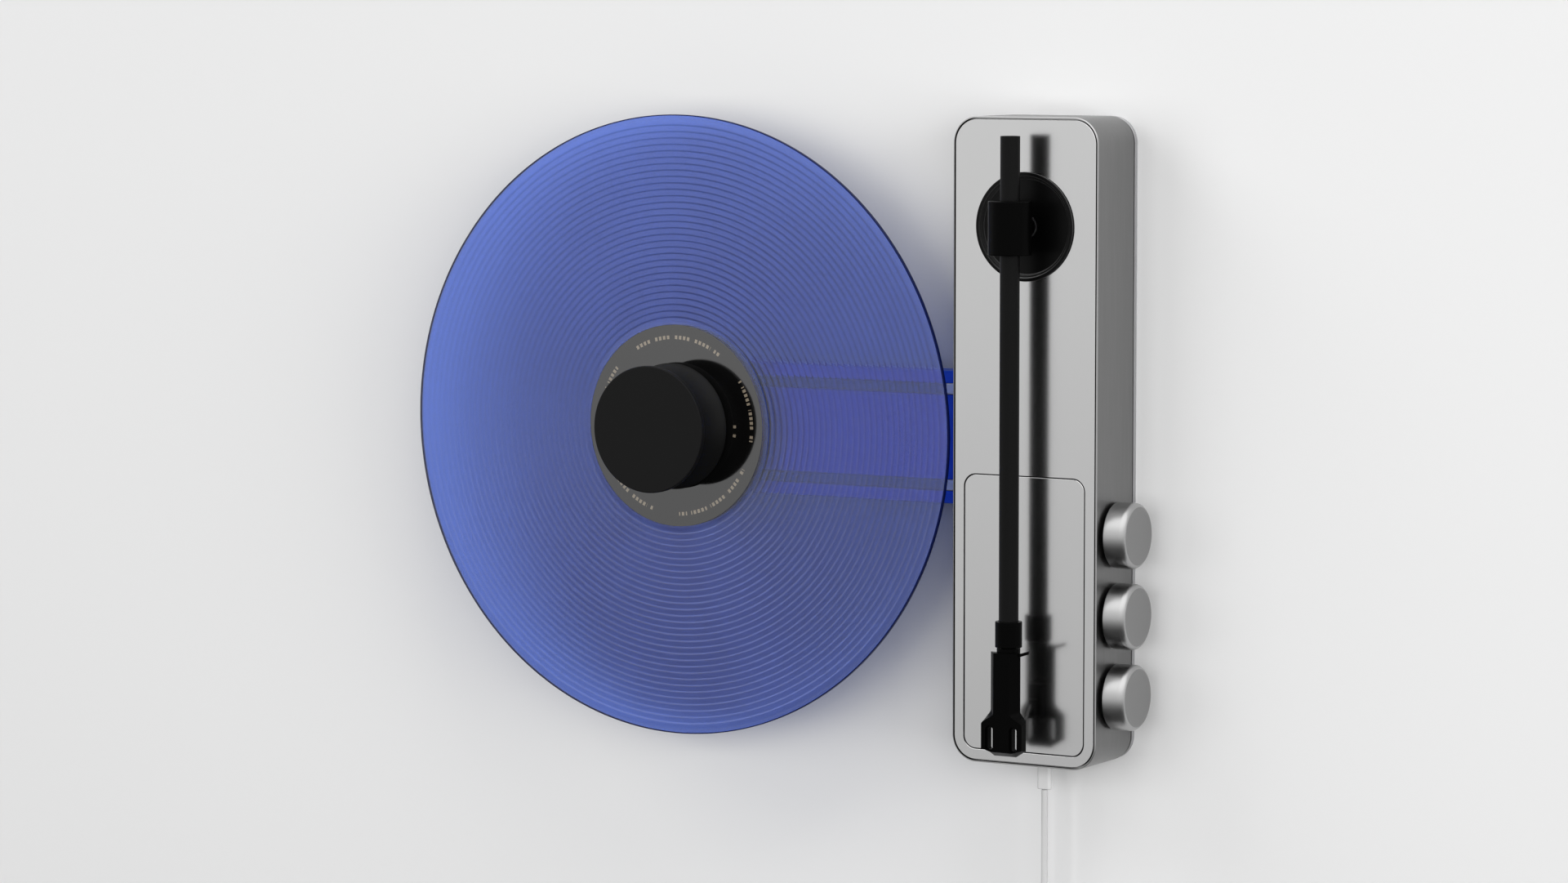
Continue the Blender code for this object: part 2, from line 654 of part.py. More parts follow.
def make_tower_shell(root):
    ledge = PLATE_BACK - SEAT
    mesh = bmesh.new()
    add_loft(mesh, [
        level(tower_outline(BACK_CHAMFER), -SHELL_DEPTH),
        level(tower_outline(0), -SHELL_DEPTH + BACK_CHAMFER),
        level(tower_outline(0), -LIP_CHAMFER),
        level(tower_outline(LIP_CHAMFER), 0),
        level(tower_outline(SHELL_LIP), 0),
        level(tower_outline(SHELL_LIP), ledge),
        level(tower_outline(SHELL_WALL), ledge),
        level(tower_outline(SHELL_WALL), FLOOR_OUT),
    ])
    shell = make("tower_shell", mesh, SATIN_ALUMINIUM, root)
    foot = FLOOR_OUT - SHELL_FLOOR / 2
    bosses = bmesh.new()
    for side_x in (-1, 1):
        for up in PILLAR_UPS:
            add_cylinder(bosses, PILLAR_RADIUS, foot, ledge, TINY_SIDES, at=(side_x * PILLAR_X, up, 0.0))
        for side_up in (-1, 1):
            at = (BOARD_X + side_x * (BOARD_WIDTH / 2 - STANDOFF_INSET),
                  BOARD_UP + side_up * (BOARD_HEIGHT / 2 - STANDOFF_INSET), 0.0)
            add_cylinder(bosses, STANDOFF_RADIUS, foot, BOARD_OUT - BOARD_THICKNESS - SEAT, TINY_SIDES, at=at)
    join(shell, bosses, root)
    holes = bmesh.new()
    half = ARM_HEIGHT / 2 + SEAT
    add_box(holes, (TOWER_LEFT - OVERRUN, -half, ARM_BACK - SEAT),
            (TOWER_LEFT + SHELL_WALL + OVERRUN, half, ARM_FRONT + RAIL_PROUD + SEAT))
    for at in knob_places():
        add_cylinder(holes, BUSH_RADIUS + SEAT, -SHELL_WALL - OVERRUN, OVERRUN, at=at, along=ALONG_RIGHT)
    tip = rounded(TIP_WIDTH + 2 * SEAT, TIP_DEPTH + 2 * SEAT, TIP_CORNER)
    slot_at = Matrix.Translation((0.0, TOWER_BOTTOM, SOCKET_OUT)) @ ALONG_UP
    add_loft(holes, [level(tip, -OVERRUN), level(tip, SHELL_WALL + OVERRUN)], transform=slot_at)
    for side in (-1, 1):
        add_cylinder(holes, BACK_SCREW_RADIUS + SEAT, -SHELL_DEPTH - OVERRUN, FLOOR_OUT + OVERRUN,
                     TINY_SIDES, at=(0.0, side * BACK_SCREW_UP, 0.0))
    cut(shell, holes, root)


def make_face_plate(root):
    mesh = bmesh.new()
    add_loft(mesh, [
        level(tower_outline(PLATE_INSET), PLATE_BACK),
        level(tower_outline(PLATE_INSET), -PLATE_BEVEL),
        level(tower_outline(PLATE_INSET + PLATE_BEVEL), 0),
    ])
    plate = make("face_plate", mesh, POLISHED_PLATE, root)
    holes = bmesh.new()
    opening = rounded(HATCH_OPENING_WIDTH, HATCH_OPENING_HEIGHT, HATCH_OPENING_CORNER, CORNER_STEPS)
    add_loft(holes, [level(opening, PLATE_BACK - OVERRUN, up=HATCH_UP),
                     level(opening, OVERRUN, up=HATCH_UP)])
    add_cylinder(holes, FLANGE_BODY_RADIUS + SEAT, PLATE_BACK - OVERRUN, OVERRUN, SIDES,
                 at=(0.0, PIVOT_UP, 0.0))
    cut(plate, holes, root)


def make_service_hatch(root):
    def outline(inset):
        inset = inset + HATCH_GAP
        return rounded(HATCH_OPENING_WIDTH - 2 * inset, HATCH_OPENING_HEIGHT - 2 * inset,
                       HATCH_OPENING_CORNER - inset, CORNER_STEPS)

    mesh = bmesh.new()
    add_loft(mesh, [level(outline(0), PLATE_BACK, up=HATCH_UP), level(outline(0), -PLATE_BEVEL, up=HATCH_UP),
                    level(outline(PLATE_BEVEL), 0, up=HATCH_UP)])
    make("service_hatch", mesh, POLISHED_PLATE, root)


def make_hatch_frame(root):
    outer = rounded(HATCH_OPENING_WIDTH + 2 * FRAME_BORDER, HATCH_OPENING_HEIGHT + 2 * FRAME_BORDER,
                    HATCH_OPENING_CORNER + FRAME_BORDER)
    inner = rounded(HATCH_OPENING_WIDTH - 2 * FRAME_LEDGE, HATCH_OPENING_HEIGHT - 2 * FRAME_LEDGE,
                    HATCH_OPENING_CORNER - FRAME_LEDGE)
    front = PLATE_BACK - SEAT
    back = front - FRAME_THICKNESS
    mesh = bmesh.new()
    add_loft(mesh, [level(outer, back, up=HATCH_UP), level(outer, front, up=HATCH_UP),
                    level(inner, front, up=HATCH_UP), level(inner, back, up=HATCH_UP)], closed=True)
    make("hatch_frame", mesh, MATT_BLACK, root)


def make_main_board(root):
    """A circuit board with its capacitors and its chip soldered on."""
    outline = rounded(BOARD_WIDTH, BOARD_HEIGHT, BOARD_CORNER)
    mesh = bmesh.new()
    add_loft(mesh, [level(outline, BOARD_OUT - BOARD_THICKNESS, BOARD_X, BOARD_UP),
                    level(outline, BOARD_OUT, BOARD_X, BOARD_UP)])
    board = make("main_board", mesh, BOARD_GREEN, root)
    parts = bmesh.new()
    foot = BOARD_OUT - BOARD_THICKNESS / 2
    for index in range(CAPACITOR_COUNT):
        up = BOARD_UP + CAPACITOR_PITCH * (index - (CAPACITOR_COUNT - 1) / 2)
        add_cylinder(parts, CAPACITOR_RADIUS, foot, BOARD_OUT + CAPACITOR_HEIGHT, TINY_SIDES,
                     at=(BOARD_X - BOARD_WIDTH / 2 + CAPACITOR_FROM_EDGE, up, 0.0))
    square = rounded(CHIP_SIZE, CHIP_SIZE, CHIP_CORNER)
    chip_x = BOARD_X + BOARD_WIDTH / 2 - CHIP_FROM_EDGE
    add_loft(parts, [level(square, foot, chip_x, BOARD_UP),
                     level(square, BOARD_OUT + CHIP_THICKNESS, chip_x, BOARD_UP)])
    join(board, parts, root)


def make_power_socket(root):
    outer = rounded(SOCKET_WIDTH, SOCKET_DEPTH, SOCKET_CORNER)
    inner = rounded(TIP_WIDTH + 2 * SEAT, TIP_DEPTH + 2 * SEAT, TIP_CORNER)
    floor = TIP_REACH - SHELL_WALL - SEAT
    mesh = bmesh.new()
    add_loft(mesh, [level(outer, SOCKET_HEIGHT), level(outer, 0), level(inner, 0), level(inner, floor)])
    make("power_socket", mesh, MATT_BLACK, root, at=(0.0, TOWER_BOTTOM + SHELL_WALL + SEAT, SOCKET_OUT),
         along=ALONG_UP)


def make_power_plug(root):
    body = rounded(PLUG_WIDTH, PLUG_DEPTH, PLUG_CORNER)
    eased = rounded(PLUG_WIDTH - 2 * PLUG_CHAMFER, PLUG_DEPTH - 2 * PLUG_CHAMFER, PLUG_CORNER - PLUG_CHAMFER)
    tip = rounded(TIP_WIDTH, TIP_DEPTH, TIP_CORNER)
    mesh = bmesh.new()
    add_loft(mesh, [level(tip, TIP_REACH - SEAT), level(tip, 0), level(body, 0),
                    level(body, PLUG_CHAMFER - PLUG_LENGTH), level(eased, -PLUG_LENGTH)])
    make("power_plug", mesh, PALE_PLASTIC, root, at=(0.0, TOWER_BOTTOM - SEAT, SOCKET_OUT), along=ALONG_UP)


def cord_route():
    """Points of the cord from its plug to the coil, and the direction in which it arrives there."""
    x, up = 0.0, TOWER_BOTTOM - 2 * SEAT - PLUG_LENGTH
    route = [(x, up - CORD_DROP * share) for share in (0.0, 0.4, 0.8, 1.0)]
    up -= CORD_DROP
    turn = math.pi / 4
    for step in range(1, CORD_BEND_STEPS + 1):
        angle = turn * step / CORD_BEND_STEPS
        route.append((x + CORD_BEND_RADIUS * (1 - math.cos(angle)), up - CORD_BEND_RADIUS * math.sin(angle)))
    heading = Vector((math.sin(turn), -math.cos(turn), 0.0))
    x, up = route[-1]
    route += [(x + heading.x * CORD_LEAD_IN * share, up + heading.y * CORD_LEAD_IN * share)
              for share in (0.5, 1.0)]
    return [(x, up, SOCKET_OUT) for x, up in route], heading


def coil_geometry():
    """Where the coil starts, its centre, its entry angle and its outer radius."""
    route, heading = cord_route()
    start = Vector((*route[-1][:2], 0.0)) + heading * SEAT
    inward = Vector((heading.y, -heading.x, 0.0))
    entry = math.atan2(-inward.y, -inward.x)
    outer_radius = COIL_MEAN_RADIUS + coil_rise() / 2
    return start, start + heading * CORD_DIAMETER + inward * outer_radius, entry, outer_radius


def coil_turns():
    return COIL_WHOLE_TURNS + (math.pi / 4) / (2 * math.pi)


def coil_rise():
    """How far a layer's spiral runs in, from its outer turn to its inner one."""
    return COIL_SPACING * coil_turns() / COIL_LAYERS


def coil_points():
    """The piled loops as one line: each layer spirals in or out, and the climbs are at the reversals."""
    start, centre, entry, outer_radius = coil_geometry()
    turns = coil_turns()
    angle = np.append(np.arange(0, turns * POINTS_PER_LOOP), turns * POINTS_PER_LOOP) / POINTS_PER_LOOP
    layer_turns = turns / COIL_LAYERS
    phase = angle / layer_turns
    inward_share = 1 - np.abs(phase % 2 - 1)
    radius = outer_radius - coil_rise() * inward_share
    climb = np.zeros_like(angle)
    for reversal in range(1, COIL_LAYERS):
        climb += np.clip((angle - reversal * layer_turns) / 0.5 + 0.5, 0, 1)
    turned = entry - 2 * np.pi * angle
    loops = np.column_stack((centre.x + radius * np.cos(turned), centre.y + radius * np.sin(turned),
                             SOCKET_OUT - COIL_SPACING * climb))
    first = np.array((start.x, start.y, SOCKET_OUT))
    last = loops[-1] - np.array((0.0, CORD_DIAMETER, 0.0))
    return np.vstack((first, loops, last))


def least_gap(points, diameter):
    """The least space between two stretches of a wound tube that lie over half a turn apart."""
    apart = POINTS_PER_LOOP // 2
    spans = np.linalg.norm(points[:, None] - points[None], axis=2)
    near = np.abs(np.subtract.outer(np.arange(len(points)), np.arange(len(points)))) < apart
    return float(spans[~near].min() - diameter)


def make_cord(root):
    run = smooth_route(cord_route()[0], 2 * CORD_DIAMETER)
    make_tube("cord_run", run, CORD_DIAMETER, PALE_PLASTIC, root, 2)
    coil = coil_points()
    make_tube("cord_coil", coil, CORD_DIAMETER, PALE_PLASTIC, root, 1)
    lengths = [float(np.linalg.norm(np.diff(line, axis=0), axis=1).sum()) for line in (run, coil)]
    print(f"cord: run {lengths[0]:.4f} m, coil {lengths[1]:.4f} m, "
          f"least gap between turns {1000 * least_gap(coil, CORD_DIAMETER):.2f} mm")


def make_cord_tie(root):
    _, centre, _, _ = coil_geometry()
    radial = coil_rise() + CORD_DIAMETER + 2 * TIE_SLACK
    deep = COIL_SPACING * (COIL_LAYERS - 1) + CORD_DIAMETER + 2 * TIE_SLACK
    inner = rounded(deep, radial, TIE_CORNER)
    outer = rounded(deep + 2 * TIE_WALL, radial + 2 * TIE_WALL, TIE_CORNER + TIE_WALL)
    mesh = bmesh.new()
    half = TIE_WIDTH / 2
    add_loft(mesh, [level(outer, -half), level(outer, half), level(inner, half), level(inner, -half)],
             closed=True)
    middle_out = SOCKET_OUT - COIL_SPACING * (COIL_LAYERS - 1) / 2
    make("cord_tie", mesh, RUBBER, root, at=(centre.x, centre.y + COIL_MEAN_RADIUS, middle_out),
         along=ALONG_RIGHT)


def make_far_plug(root):
    end = Vector(coil_points()[-1])
    neck = rounded(2 * FAR_NECK_RADIUS, 2 * FAR_NECK_RADIUS, FAR_NECK_RADIUS)
    foot = rounded(2 * FAR_NECK_FOOT_RADIUS, 2 * FAR_NECK_FOOT_RADIUS, FAR_NECK_FOOT_RADIUS)
    eased = rounded(FAR_BODY_WIDTH - 2 * FAR_CHAMFER, FAR_BODY_DEPTH - 2 * FAR_CHAMFER,
                    FAR_BODY_CORNER - FAR_CHAMFER)
    body = rounded(FAR_BODY_WIDTH, FAR_BODY_DEPTH, FAR_BODY_CORNER)
    tip = rounded(FAR_TIP_WIDTH, FAR_TIP_DEPTH, FAR_TIP_CORNER)
    body_top = -FAR_NECK_LENGTH
    body_end = body_top - FAR_BODY_LENGTH
    mesh = bmesh.new()
    add_loft(mesh, [level(neck, 0), level(foot, body_top), level(eased, body_top),
                    level(body, body_top - FAR_CHAMFER), level(body, body_end), level(tip, body_end),
                    level(tip, body_end - FAR_TIP_LENGTH)])
    make("far_plug", mesh, PALE_PLASTIC, root, at=(end.x, end.y - SEAT, end.z), along=ALONG_UP)


def make_controls(root):
    body_start = -SHELL_WALL - SEAT - CONTROL_LENGTH
    shaft_start = body_start + CONTROL_WALL
    profile = ((0.0, body_start), (CONTROL_RADIUS, body_start), (CONTROL_RADIUS, -SHELL_WALL - SEAT),
               (BUSH_RADIUS, -SHELL_WALL - SEAT), (BUSH_RADIUS, BUSH_PROUD),
               (SHAFT_RADIUS + SEAT, BUSH_PROUD), (SHAFT_RADIUS + SEAT, shaft_start), (0.0, shaft_start))
    for name, at in zip(("upper", "middle", "lower"), knob_places()):
        mesh = bmesh.new()
        add_turned(mesh, profile, SMALL_SIDES)
        make(name + "_control", mesh, MATT_BLACK, root, at=at, along=ALONG_RIGHT)
    return shaft_start + SEAT


def knob_profile():
    points = [(0.0, KNOB_LENGTH)]
    for step in range(SMALL_CORNER_STEPS + 1):
        angle = math.pi / 2 * (1 - step / SMALL_CORNER_STEPS)
        points.append((KNOB_RADIUS - KNOB_FILLET + KNOB_FILLET * math.cos(angle),
                       KNOB_LENGTH - KNOB_FILLET + KNOB_FILLET * math.sin(angle)))
    bore = SHAFT_RADIUS + SEAT
    points += [(KNOB_RADIUS, KNOB_BACK_CHAMFER), (KNOB_RADIUS - KNOB_BACK_CHAMFER, 0.0),
               (KNOB_HOLLOW_RADIUS, 0.0), (KNOB_HOLLOW_RADIUS, KNOB_HOLLOW_DEPTH),
               (KNOB_HUB_RADIUS, KNOB_HOLLOW_DEPTH), (KNOB_HUB_RADIUS, 0.0), (bore, 0.0),
               (bore, KNOB_BORE_DEPTH), (0.0, KNOB_BORE_DEPTH)]
    return points


def make_knobs(root, shaft_start):
    for name, at in zip(("upper", "middle", "lower"), knob_places()):
        body = Body(name + "_knob_axis", at, root)
        knob = bmesh.new()
        add_turned(knob, knob_profile(), SIDES)
        make(name + "_knob", knob, BLASTED_ALUMINIUM, body, at=(at[0] + KNOB_GAP, at[1], at[2]),
             along=ALONG_RIGHT)
        shaft = bmesh.new()
        add_cylinder(shaft, SHAFT_RADIUS, shaft_start, KNOB_GAP + KNOB_BORE_DEPTH - SEAT)
        make(name + "_knob_shaft", shaft, STEEL, body, at=at, along=ALONG_RIGHT)


def arm_outline(inset):
    """The arm's outline: a half circle about the spindle on the left, square on the right."""
    radius = ARM_HEIGHT / 2 - inset
    points = []
    steps = LARGE_SIDES // 3
    for step in range(steps + 1):
        angle = math.pi / 2 + math.pi * step / steps
        points.append((SPINDLE_X + radius * math.cos(angle), radius * math.sin(angle)))
    return points + [(ARM_END_X - inset, -radius), (ARM_END_X - inset, radius)]


def make_arm_beam(root):
    mesh = bmesh.new()
    add_loft(mesh, [level(arm_outline(ARM_BEVEL), ARM_BACK), level(arm_outline(0), ARM_BACK + ARM_BEVEL),
                    level(arm_outline(0), ARM_FRONT - ARM_BEVEL), level(arm_outline(ARM_BEVEL), ARM_FRONT)])
    beam = make("arm_beam", mesh, BLUE_PAINT, root)
    cuts = bmesh.new()
    add_cylinder(cuts, HOUSING_RADIUS + SEAT, ARM_BACK - OVERRUN, ARM_FRONT + OVERRUN, SIDES,
                 at=(SPINDLE_X, 0.0, 0.0))
    half = RAIL_HEIGHT / 2 + SEAT
    for side in (-1, 1):
        up = side * RAIL_UP
        add_box(cuts, (RAIL_START_X - SEAT, up - half, ARM_FRONT + RAIL_PROUD - RAIL_THICKNESS - SEAT),
                (ARM_END_X + OVERRUN, up + half, ARM_FRONT + OVERRUN))
    cut(beam, cuts, root)
    channel = bmesh.new()
    half = LEAD_CHANNEL_WIDTH / 2
    add_box(channel, (SPINDLE_X + HOUSING_RADIUS - OVERRUN, -half, ARM_BACK - OVERRUN),
            (ARM_END_X + OVERRUN, half, ARM_BACK + LEAD_CHANNEL_DEPTH))
    cut(beam, channel, root)


def make_rails(root):
    back = ARM_FRONT + RAIL_PROUD - RAIL_THICKNESS
    half = RAIL_HEIGHT / 2
    for name, side in (("upper_rail", 1), ("lower_rail", -1)):
        section = [(RAIL_THICKNESS - RAIL_BEVEL, half), (0.0, half), (0.0, -half),
                   (RAIL_THICKNESS - RAIL_BEVEL, -half), (RAIL_THICKNESS, RAIL_BEVEL - half),
                   (RAIL_THICKNESS, half - RAIL_BEVEL)]
        mesh = bmesh.new()
        rings = [[(x, side * RAIL_UP + up, back + out) for out, up in section]
                 for x in (RAIL_START_X, ARM_END_X)]
        add_loft(mesh, rings)
        make(name, mesh, SATIN_ALUMINIUM, root)


def make_root_block(root):
    outline = rounded(ROOT_WIDTH, ROOT_HEIGHT, ROOT_CORNER)
    x = TOWER_LEFT + ROOT_FROM_SIDE + ROOT_WIDTH / 2
    mesh = bmesh.new()
    add_loft(mesh, [level(outline, FLOOR_OUT + SEAT, x), level(outline, ARM_BACK - SEAT, x)])
    make("arm_root_block", mesh, SATIN_ALUMINIUM, root)


def make_motor_lead(root):
    """The lead lies in the arm's channel, then drops beside the root block to the board's upper edge."""
    start = SPINDLE_X + HOUSING_RADIUS + 2 * SEAT
    corner = TOWER_LEFT + ROOT_FROM_SIDE + ROOT_WIDTH
    route = [(start + (ARM_END_X - start) * share, 0.0, LEAD_OUT) for share in (0.0, 0.3, 0.7, 1.0)]
    way_back = BOARD_OUT - BOARD_THICKNESS / 2 - LEAD_OUT
    route += [(corner + x, up, LEAD_OUT + way_back * share) for x, up, share in LEAD_TAIL]
    x, _, out = route[-1]
    route.append((x, BOARD_TOP + SEAT, out))
    points = smooth_route(route, 2 * LEAD_DIAMETER)
    make_tube("motor_lead", points, LEAD_DIAMETER, MATT_BLACK, root, 1)


def make_hub(root):
    at = (SPINDLE_X, 0.0, 0.0)
    inner = HOUSING_RADIUS - HOUSING_WALL
    bore = BEARING_RADIUS + SEAT
    flange_back = ARM_FRONT + SEAT
    web_back = WEB_FRONT - WEB_THICKNESS
    profile = ((bore, BEARING_TUBE_OUT), (BEARING_TUBE_RADIUS, BEARING_TUBE_OUT),
               (BEARING_TUBE_RADIUS, WEB_FRONT), (inner, WEB_FRONT), (inner, HOUSING_FLANGE_OUT),
               (HOUSING_FLANGE_RADIUS, HOUSING_FLANGE_OUT),
               (HOUSING_FLANGE_RADIUS, flange_back), (HOUSING_RADIUS, flange_back),
               (HOUSING_RADIUS, HOUSING_BACK), (inner, HOUSING_BACK), (inner, web_back), (bore, web_back))
    mesh = bmesh.new()
    add_turned(mesh, profile, INNER_SIDES, closed=True)
    make("hub_housing", mesh, MATT_BLACK, root, at=at)

    cover = bmesh.new()
    cover_front = HOUSING_BACK - SEAT
    add_cylinder(cover, HOUSING_RADIUS, cover_front - HUB_COVER_THICKNESS, cover_front, INNER_SIDES)
    make("hub_cover", cover, MATT_BLACK, root, at=at)

    front_bearing = bmesh.new()
    front = BEARING_TUBE_OUT - SEAT
    add_ring(front_bearing, BEARING_RADIUS, BEARING_BORE, front - BEARING_LENGTH, front, SMALL_SIDES)
    make("front_bearing", front_bearing, STEEL, root, at=at)
    rear_bearing = bmesh.new()
    add_ring(rear_bearing, BEARING_RADIUS, BEARING_BORE, web_back, web_back + BEARING_LENGTH, SMALL_SIDES)
    make("rear_bearing", rear_bearing, STEEL, root, at=at)


def make_stator(root):
    at = (SPINDLE_X, 0.0, 0.0)
    star = []
    tooth_angle = 2 * math.pi / TOOTH_COUNT
    tip_angle = tooth_angle * TOOTH_TIP_SHARE / 2
    for index in range(TOOTH_COUNT):
        middle = index * tooth_angle
        for radius in (STATOR_CORE_RADIUS, STATOR_NECK_RADIUS):
            star.append(((radius, -TOOTH_HALF_WIDTH), middle))
        for turn in (-tip_angle, 0.0, tip_angle):
            star.append(((STATOR_RADIUS, 0.0), middle + turn))
        for radius in (STATOR_NECK_RADIUS, STATOR_CORE_RADIUS):
            star.append(((radius, TOOTH_HALF_WIDTH), middle))
    outline = [(x * math.cos(a) - y * math.sin(a), x * math.sin(a) + y * math.cos(a)) for (x, y), a in star]
    back = STATOR_OUT - STATOR_LENGTH
    mesh = bmesh.new()
    add_loft(mesh, [level(outline, back), level(outline, STATOR_OUT)])
    core = make("stator_core", mesh, CORE_STEEL, root, at=at)
    bore = bmesh.new()
    add_cylinder(bore, BEARING_TUBE_RADIUS + SEAT, back - OVERRUN, STATOR_OUT + OVERRUN, INNER_SIDES)
    cut(core, bore, root, at=at)

    half_length = STATOR_LENGTH / 2
    middle_out = STATOR_OUT - half_length
    common = bmesh.new()
    wire_front = middle_out - half_length - SEAT - WINDING_BUILD / 2
    add_ring(common, WINDING_END, WINDING_START, wire_front - WINDING_BUILD, wire_front, INNER_SIDES)
    windings = make("stator_coils", common, COPPER, root, at=at)
    loops = bmesh.new()
    for index in range(TOOTH_COUNT):
        turn = Matrix.Rotation(index * tooth_angle, 4, "Z") @ Matrix.Translation((0.0, 0.0, middle_out))
        rings = []
        for radial, grow in ((WINDING_START, WINDING_BUILD), (WINDING_END, WINDING_BUILD),
                             (WINDING_END, 0.0), (WINDING_START, 0.0)):
            half_y = TOOTH_HALF_WIDTH + SEAT + grow
            half_z = half_length + SEAT + grow
            rings.append([(radial, -half_y, -half_z), (radial, half_y, -half_z), (radial, half_y, half_z),
                          (radial, -half_y, half_z)])
        add_loft(loops, rings, closed=True, transform=turn)
    join(windings, loops, root, at=at)


def make_platter(platter):
    at = platter.at
    bore = SPINDLE_RADIUS + SEAT

    spindle = bmesh.new()
    groove_front = WEB_FRONT - WEB_THICKNESS - SEAT - SEAT
    groove_back = groove_front - CLIP_THICKNESS - 2 * SEAT
    add_turned(spindle, ((0.0, SPINDLE_BACK), (SPINDLE_RADIUS, SPINDLE_BACK), (SPINDLE_RADIUS, groove_back),
                         (CLIP_GROOVE_RADIUS, groove_back), (CLIP_GROOVE_RADIUS, groove_front),
                         (SPINDLE_RADIUS, groove_front),
                         (SPINDLE_RADIUS, SPINDLE_TIP_OUT - SPINDLE_TIP_CHAMFER),
                         (SPINDLE_RADIUS - SPINDLE_TIP_CHAMFER, SPINDLE_TIP_OUT), (0.0, SPINDLE_TIP_OUT)),
               SMALL_SIDES)
    make("spindle", spindle, STEEL, platter, at=at)
    clip = bmesh.new()
    add_ring(clip, CLIP_RADIUS, CLIP_GROOVE_RADIUS + SEAT, groove_front - SEAT - CLIP_THICKNESS,
             groove_front - SEAT, SMALL_SIDES)
    make("shaft_clip", clip, STEEL, platter, at=at)

    cup = bmesh.new()
    web_back = ROTOR_FRONT - ROTOR_WEB
    add_turned(cup, ((bore, ROTOR_FRONT), (ROTOR_RADIUS, ROTOR_FRONT), (ROTOR_RADIUS, ROTOR_BACK),
                     (ROTOR_RADIUS - ROTOR_WALL, ROTOR_BACK), (ROTOR_RADIUS - ROTOR_WALL, web_back),
                     (ROTOR_HUB_RADIUS, web_back), (ROTOR_HUB_RADIUS, ROTOR_FRONT - ROTOR_HUB_LENGTH),
                     (bore, ROTOR_FRONT - ROTOR_HUB_LENGTH)), INNER_SIDES, closed=True)
    make("rotor_cup", cup, STEEL, platter, at=at)
    magnets = bmesh.new()
    add_ring(magnets, MAGNET_RADIUS, MAGNET_RADIUS - MAGNET_WALL, MAGNET_BACK, MAGNET_FRONT, INNER_SIDES)
    make("rotor_magnets", magnets, MAGNET_GREY, platter, at=at)

    disc = bmesh.new()
    disc_back = PLATTER_FRONT - PLATTER_THICKNESS
    edge = PLATTER_EDGE
    add_turned(disc, ((bore, PLATTER_FRONT), (PLATTER_RADIUS - edge, PLATTER_FRONT),
                      (PLATTER_RADIUS, PLATTER_FRONT - edge), (PLATTER_RADIUS, disc_back + edge),
                      (PLATTER_RADIUS - edge, disc_back), (bore, disc_back)), SIDES, closed=True)
    make("platter", disc, BLACK_ALUMINIUM, platter, at=at)
    mat = bmesh.new()
    add_ring(mat, MAT_RADIUS, bore, MAT_FRONT - MAT_THICKNESS, MAT_FRONT, SIDES)
    make("platter_mat", mat, RUBBER, platter, at=at)


def make_record(platter):
    at = platter.at
    recess = LABEL_THICKNESS + SEAT
    recess_radius = LABEL_RADIUS + SEAT
    edge = RECORD_EDGE
    mesh = bmesh.new()
    add_turned(mesh, ((RECORD_BORE, RECORD_OUT - recess), (recess_radius, RECORD_OUT - recess),
                      (recess_radius, RECORD_OUT), (RECORD_RADIUS - edge, RECORD_OUT),
                      (RECORD_RADIUS, RECORD_OUT - edge), (RECORD_RADIUS, RECORD_BACK + edge),
                      (RECORD_RADIUS - edge, RECORD_BACK), (recess_radius, RECORD_BACK),
                      (recess_radius, RECORD_BACK + recess), (RECORD_BORE, RECORD_BACK + recess)),
               LARGE_SIDES, closed=True)
    make("record", mesh, BLUE_VINYL, platter, at=at)
    for name, low in (("front_label", RECORD_OUT - LABEL_THICKNESS), ("back_label", RECORD_BACK)):
        label = bmesh.new()
        add_ring(label, LABEL_RADIUS, RECORD_BORE, low, low + LABEL_THICKNESS, SIDES)
        make(name, label, GREY_LABEL, platter, at=at)


def make_clamp(clamp):
    at = clamp.at
    front = RECORD_OUT + CLAMP_HEIGHT
    pad_back = RECORD_OUT + SEAT
    pad_front = pad_back + CLAMP_PAD_THICKNESS
    base = RECORD_OUT + CLAMP_BASE_GAP
    seat = pad_front + SEAT
    bush_front = seat + CLAMP_BUSH_LENGTH
    waist_start = base + CLAMP_BASE
    waist_end = front - CLAMP_CAP
    profile = [(0.0, front), (CLAMP_RADIUS - CLAMP_EDGE, front), (CLAMP_RADIUS, front - CLAMP_EDGE),
               (CLAMP_RADIUS, waist_end)]
    for step in range(1, CORNER_STEPS - 1):
        share = step / (CORNER_STEPS - 1)
        radius = CLAMP_RADIUS - (CLAMP_RADIUS - CLAMP_WAIST_RADIUS) * math.sin(math.pi * share)
        profile.append((radius, waist_end + (waist_start - waist_end) * share))
    bush_bore = CLAMP_BUSH_RADIUS + SEAT
    profile += [(CLAMP_RADIUS, waist_start), (CLAMP_RADIUS, base), (CLAMP_PAD_RADIUS + SEAT, base),
                (CLAMP_PAD_RADIUS + SEAT, seat), (bush_bore, seat), (bush_bore, bush_front + SEAT),
                (0.0, bush_front + SEAT)]
    mesh = bmesh.new()
    add_turned(mesh, profile, SIDES)
    make("clamp_body", mesh, MATT_BLACK, clamp, at=at)
    pad = bmesh.new()
    add_ring(pad, CLAMP_PAD_RADIUS, CLAMP_PAD_BORE, pad_back, pad_front, INNER_SIDES)
    make("clamp_pad", pad, RUBBER, clamp, at=at)
    bush = bmesh.new()
    add_ring(bush, CLAMP_BUSH_RADIUS, SPINDLE_RADIUS + SEAT, seat, bush_front, SMALL_SIDES)
    make("clamp_bush", bush, BRASS, clamp, at=at)


